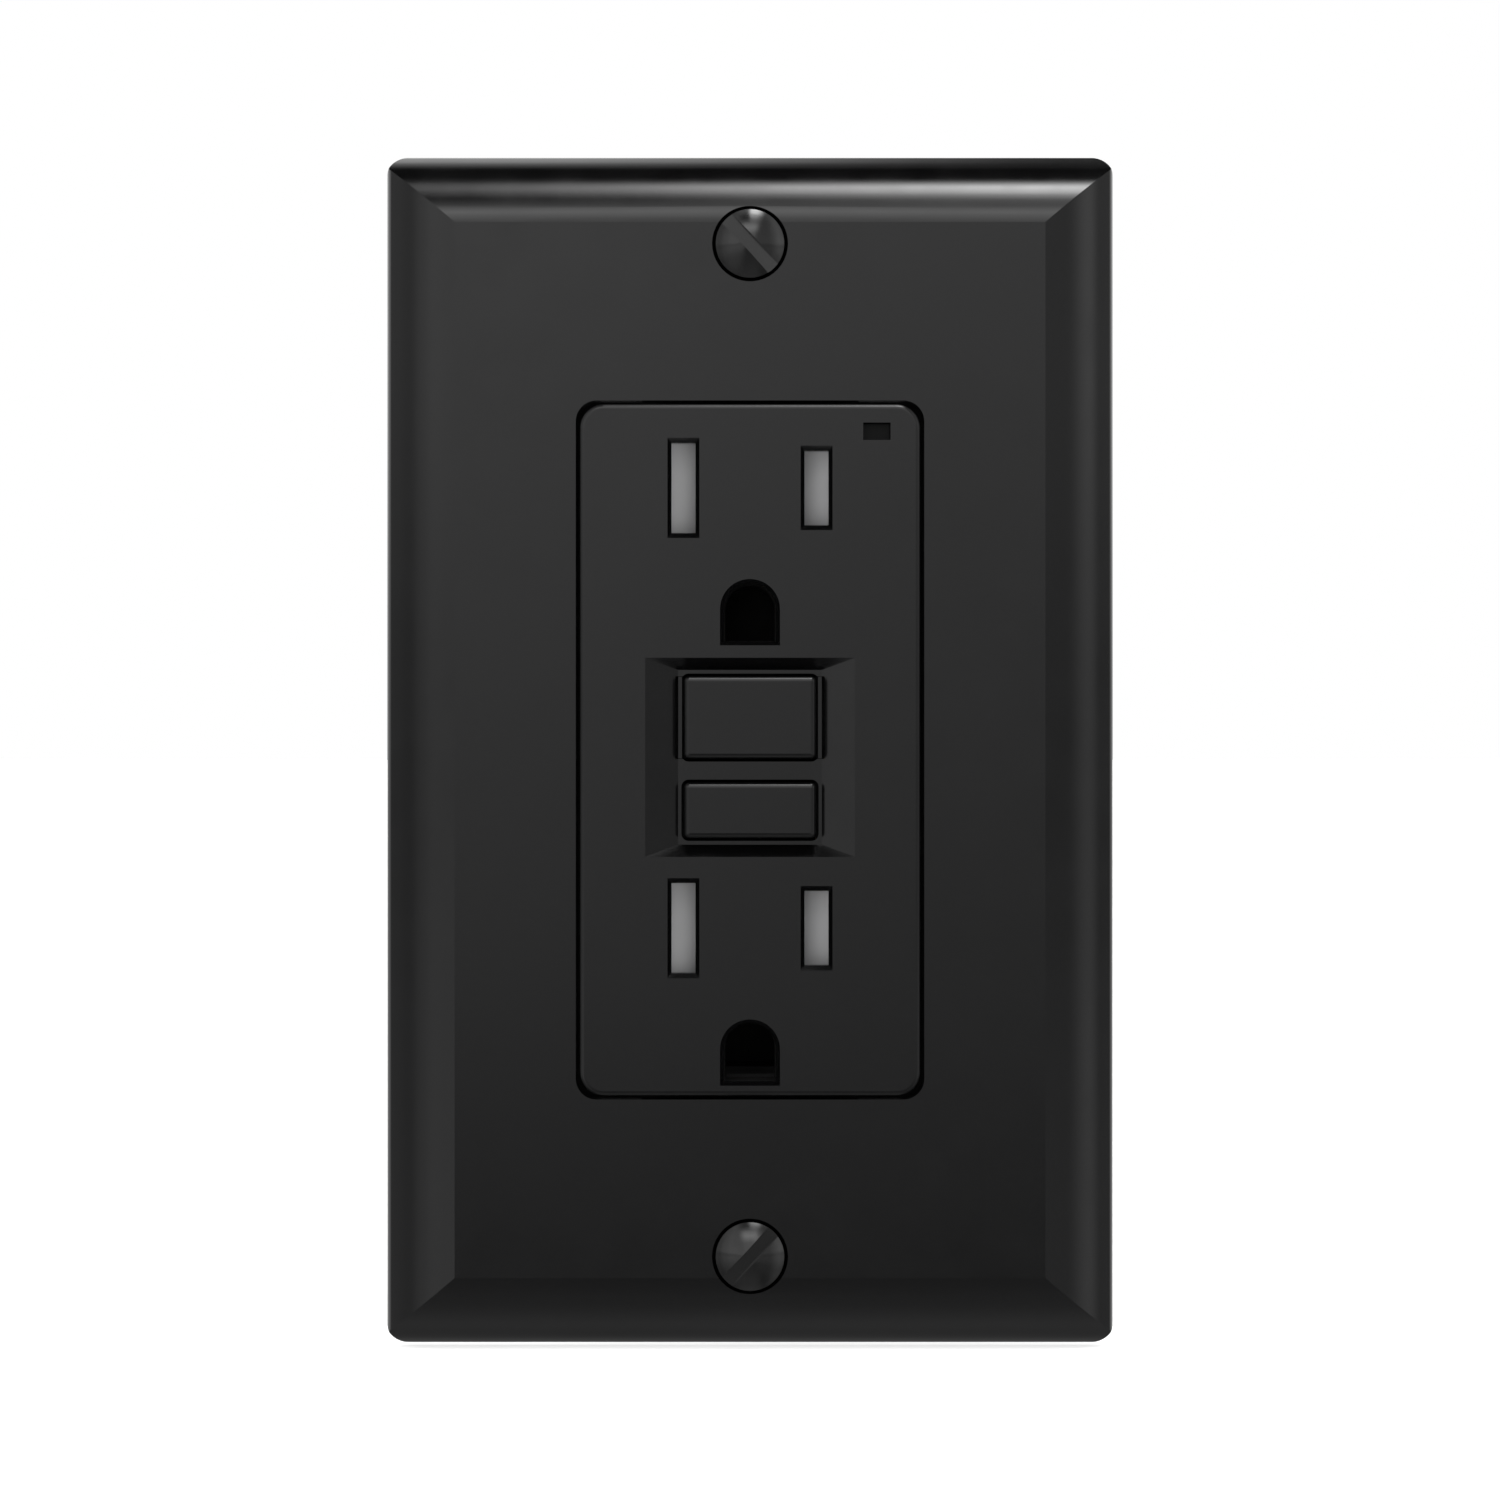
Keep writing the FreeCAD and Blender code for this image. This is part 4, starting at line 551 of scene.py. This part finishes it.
def screws():
    """Machine threads on the screws whose shanks show."""
    rows = [
        ("mounting_screws", "mounting_strap", 0.05 * MM, 1.74 * MM),
        ("wall_plate_screws", "wall_plate", 1.9 * MM, 1.68 * MM),
    ]
    for node, seat, under_head, major in rows:
        low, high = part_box(node)
        head_radius = (high.x - low.x) / 2
        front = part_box(seat)[0].y
        spots = [Vector((0, front, z)) for z in (low.z + head_radius, high.z - head_radius)]
        threaded_screws(node, spots, under_head, high.y - front - under_head, major)


def coil_winding():
    """Replaces the solenoid coil's ring with its outer layer of wire over the bobbin."""
    low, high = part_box("solenoid_coil")
    wire = 0.3 * MM
    outer = (high.x - low.x) / 2
    middle = (low + high) / 2
    turns = (high.z - low.z) / wire - 1
    steps = 20
    points = []
    for i in range(int(turns * steps) + 1):
        angle = 2 * math.pi * i / steps
        z = low.z + wire / 2 + wire * i / steps
        around = Vector((math.cos(angle), math.sin(angle), 0))
        points.append(Vector((middle.x, middle.y, z)) + (outer - wire / 2) * around)
    bm = bmesh.new()
    sweep(bm, points, wire / 2, sides=6)
    core = outer - wire * 0.8
    made = bmesh.ops.create_cone(
        bm, cap_ends=True, segments=40, radius1=core, radius2=core, depth=high.z - low.z - wire * 0.5
    )
    for v in made["verts"]:
        v.co += middle
    obj = piece("solenoid_winding", bm, "solenoid_coil")
    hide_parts("solenoid_coil")


# ---- studio -----------------------------------------------------------------------------------------------


def camera():
    """Straight at the middle of the plate, at the distance that its edges' slight perspective gives."""
    away = 0.50
    plate_share = 0.80
    seen_height = (HIGH.z - LOW.z) / plate_share
    data = bpy.data.cameras.new("camera")
    data.sensor_width = 36
    data.lens = data.sensor_width * away / seen_height
    data.clip_start, data.clip_end = 0.02, 60
    obj = bpy.data.objects.new("camera", data)
    obj.location = (0, LOW.y - away, (LOW.z + HIGH.z) / 2)
    obj.rotation_euler = (math.pi / 2, 0, 0)
    bpy.context.scene.collection.objects.link(obj)
    bpy.context.scene.camera = obj


def floor():
    """A plain, nearly white floor under the plate's lower edge."""
    bm = bmesh.new()
    bmesh.ops.create_grid(bm, x_segments=1, y_segments=1, size=30)
    mesh = bpy.data.meshes.new("floor")
    bm.to_mesh(mesh)
    bm.free()
    obj = bpy.data.objects.new("floor", mesh)
    gap = 0.3 * MM
    obj.location = (0, 0, LOW.z - gap)
    bpy.context.scene.collection.objects.link(obj)
    made = Shader("floor_pale")
    made.set(Roughness=0.9, Emission_Color=(1, 1, 1, 1), Emission_Strength=0.62)
    made.colour(made.ramp(made.noise(60, 2), [(0.3, 0.86), (0.7, 0.90)]))
    mesh.materials.append(made.material)
    obj.visible_glossy = False


# How bright the studio is over the circle that runs from the front up over the top to the back: degrees up
# from the front, and brightness. Soft boxes hang at 44 and 74 degrees with a black gap between and above.
ARCH = [
    (-180, 0.15), (-125, 0.35), (-110, 0.25), (-90, 0.38), (-60, 0.27), (-31, 0.20), (-8, 0.13), (-5.5, 0.22),
    (-3, 0.40), (0, 0.50), (3.5, 0.69), (6.5, 0.97), (12, 1.12), (28, 1.15), (34, 1.2), (39.4, 2.1),
    (44.2, 2.75), (49, 2.1), (54.6, 0.65), (61.4, 0.08), (68, 0.45), (74, 0.95), (79.6, 0.80), (86, 0.12),
    (92, 0.02), (104, 0.02), (110, 0.10), (180, 0.15),
]
# The extra brightness of the upper soft box to the right of the middle.
RIGHT_BOX = [
    (-180, 0), (50, 0), (57.6, 1.1), (65.4, 4.1), (70.6, 9.3), (76.8, 12.7), (83, 3.5), (86, 0.8), (88.5, 0),
    (180, 0),
]
# The extra brightness to the left of the middle: level with the camera, and behind the top.
LEFT_BEHIND = [
    (-180, 0.3), (-170, 0), (-8, 0), (-5.5, 0.05), (-3, 0.11), (0, 0.17), (3.5, 0.22), (6.5, 0.18), (12, 0),
    (104, 0), (110, 0.6), (118, 2.1), (130, 2.1), (160, 0.6), (180, 0.3),
]
# Brightness round the horizon, in degrees from the front with left below nought.
AROUND = [
    (-180, 1.2), (-125, 1.3), (-95, 0.85), (-80, 0.33), (-66, 0.30), (-55, 0.50), (-45, 0.62), (-31, 0.60),
    (-22, 0.58), (-6, 0.67), (6, 0.42), (30, 0.32), (45, 0.31), (65, 0.66), (76, 0.30), (90, 0.35), (125, 1.3),
    (180, 1.2),
]
# How much the horizon's brightness is raised from straight down to straight up.
TILT = [(-1.0, 0.3), (-0.5, 0.7), (-0.08, 1.25), (0.0, 1.0), (0.08, 1.7), (0.5, 1.5), (1.0, 1.0)]


def studio():
    """Soft studio light from all round, over a plain white background."""
    world = bpy.data.worlds.new("studio")
    bpy.context.scene.world = world
    world.use_nodes = True
    tree = world.node_tree
    tree.nodes.clear()

    def node(kind, **settings):
        made = tree.nodes.new(kind)
        for name, value in settings.items():
            setattr(made, name, value)
        return made

    def math_node(operation, a, b=None):
        made = node("ShaderNodeMath", operation=operation)
        for socket, value in zip(made.inputs, (a, b)):
            if isinstance(value, (int, float)):
                socket.default_value = value
            elif value is not None:
                tree.links.new(value, socket)
        return made.outputs["Value"]

    def smooth_range(source, from_low, from_high, low=0.0, high=1.0, kind="SMOOTHSTEP"):
        made = node("ShaderNodeMapRange", interpolation_type=kind)
        for name, value in (("From Min", from_low), ("From Max", from_high), ("To Min", low), ("To Max", high)):
            made.inputs[name].default_value = value
        tree.links.new(source, made.inputs["Value"])
        return made.outputs["Result"]

    def curve(source, stops, low, high):
        """A brightness read from a list of stops over a range."""
        peak = max(value for _, value in stops)
        ramp = node("ShaderNodeValToRGB")
        ramp.color_ramp.interpolation = "EASE"
        for i, (at, value) in enumerate(stops):
            position = (at - low) / (high - low)
            element = ramp.color_ramp.elements[i] if i < 2 else ramp.color_ramp.elements.new(position)
            element.position = position
            element.color = (value / peak, value / peak, value / peak, 1)
        tree.links.new(smooth_range(source, low, high, kind="LINEAR"), ramp.inputs["Fac"])
        return math_node("MULTIPLY", ramp.outputs["Color"], peak)

    direction = node("ShaderNodeSeparateXYZ")
    tree.links.new(node("ShaderNodeTexCoord").outputs["Generated"], direction.inputs["Vector"])
    x, y, z = (direction.outputs[axis] for axis in "XYZ")
    angle = math_node("MULTIPLY", math_node("ARCTAN2", z, math_node("MULTIPLY", y, -1.0)), 180 / math.pi)
    right = smooth_range(x, -0.06, 0.065)
    left = math_node("SUBTRACT", 1.0, right)
    boxes = math_node("MULTIPLY", curve(angle, RIGHT_BOX, -180, 180), right)
    behind = math_node("MULTIPLY", curve(angle, LEFT_BEHIND, -180, 180), left)
    over = math_node("ADD", curve(angle, ARCH, -180, 180), math_node("ADD", boxes, behind))
    bearing = math_node("MULTIPLY", math_node("ARCTAN2", x, math_node("MULTIPLY", y, -1.0)), 180 / math.pi)
    beside = math_node("MULTIPLY", curve(bearing, AROUND, -180, 180), curve(z, TILT, -1, 1))
    share = smooth_range(math_node("ABSOLUTE", x), 0.16, 0.42)
    kept = math_node("MULTIPLY", over, math_node("SUBTRACT", 1.0, share))
    level = math_node("ADD", kept, math_node("MULTIPLY", beside, share))

    seen = node("ShaderNodeMix", data_type="FLOAT")
    tree.links.new(node("ShaderNodeLightPath").outputs["Is Camera Ray"], seen.inputs["Factor"])
    tree.links.new(level, seen.inputs["A"])
    seen.inputs["B"].default_value = 1.0
    background = node("ShaderNodeBackground")
    background.inputs["Color"].default_value = (1, 1, 1, 1)
    tree.links.new(seen.outputs["Result"], background.inputs["Strength"])
    out = node("ShaderNodeOutputWorld")
    tree.links.new(background.outputs["Background"], out.inputs["Surface"])


camera()
wound_springs()
screws()
coil_winding()
floor()
studio()
bpy.context.scene.view_settings.view_transform = "Standard"
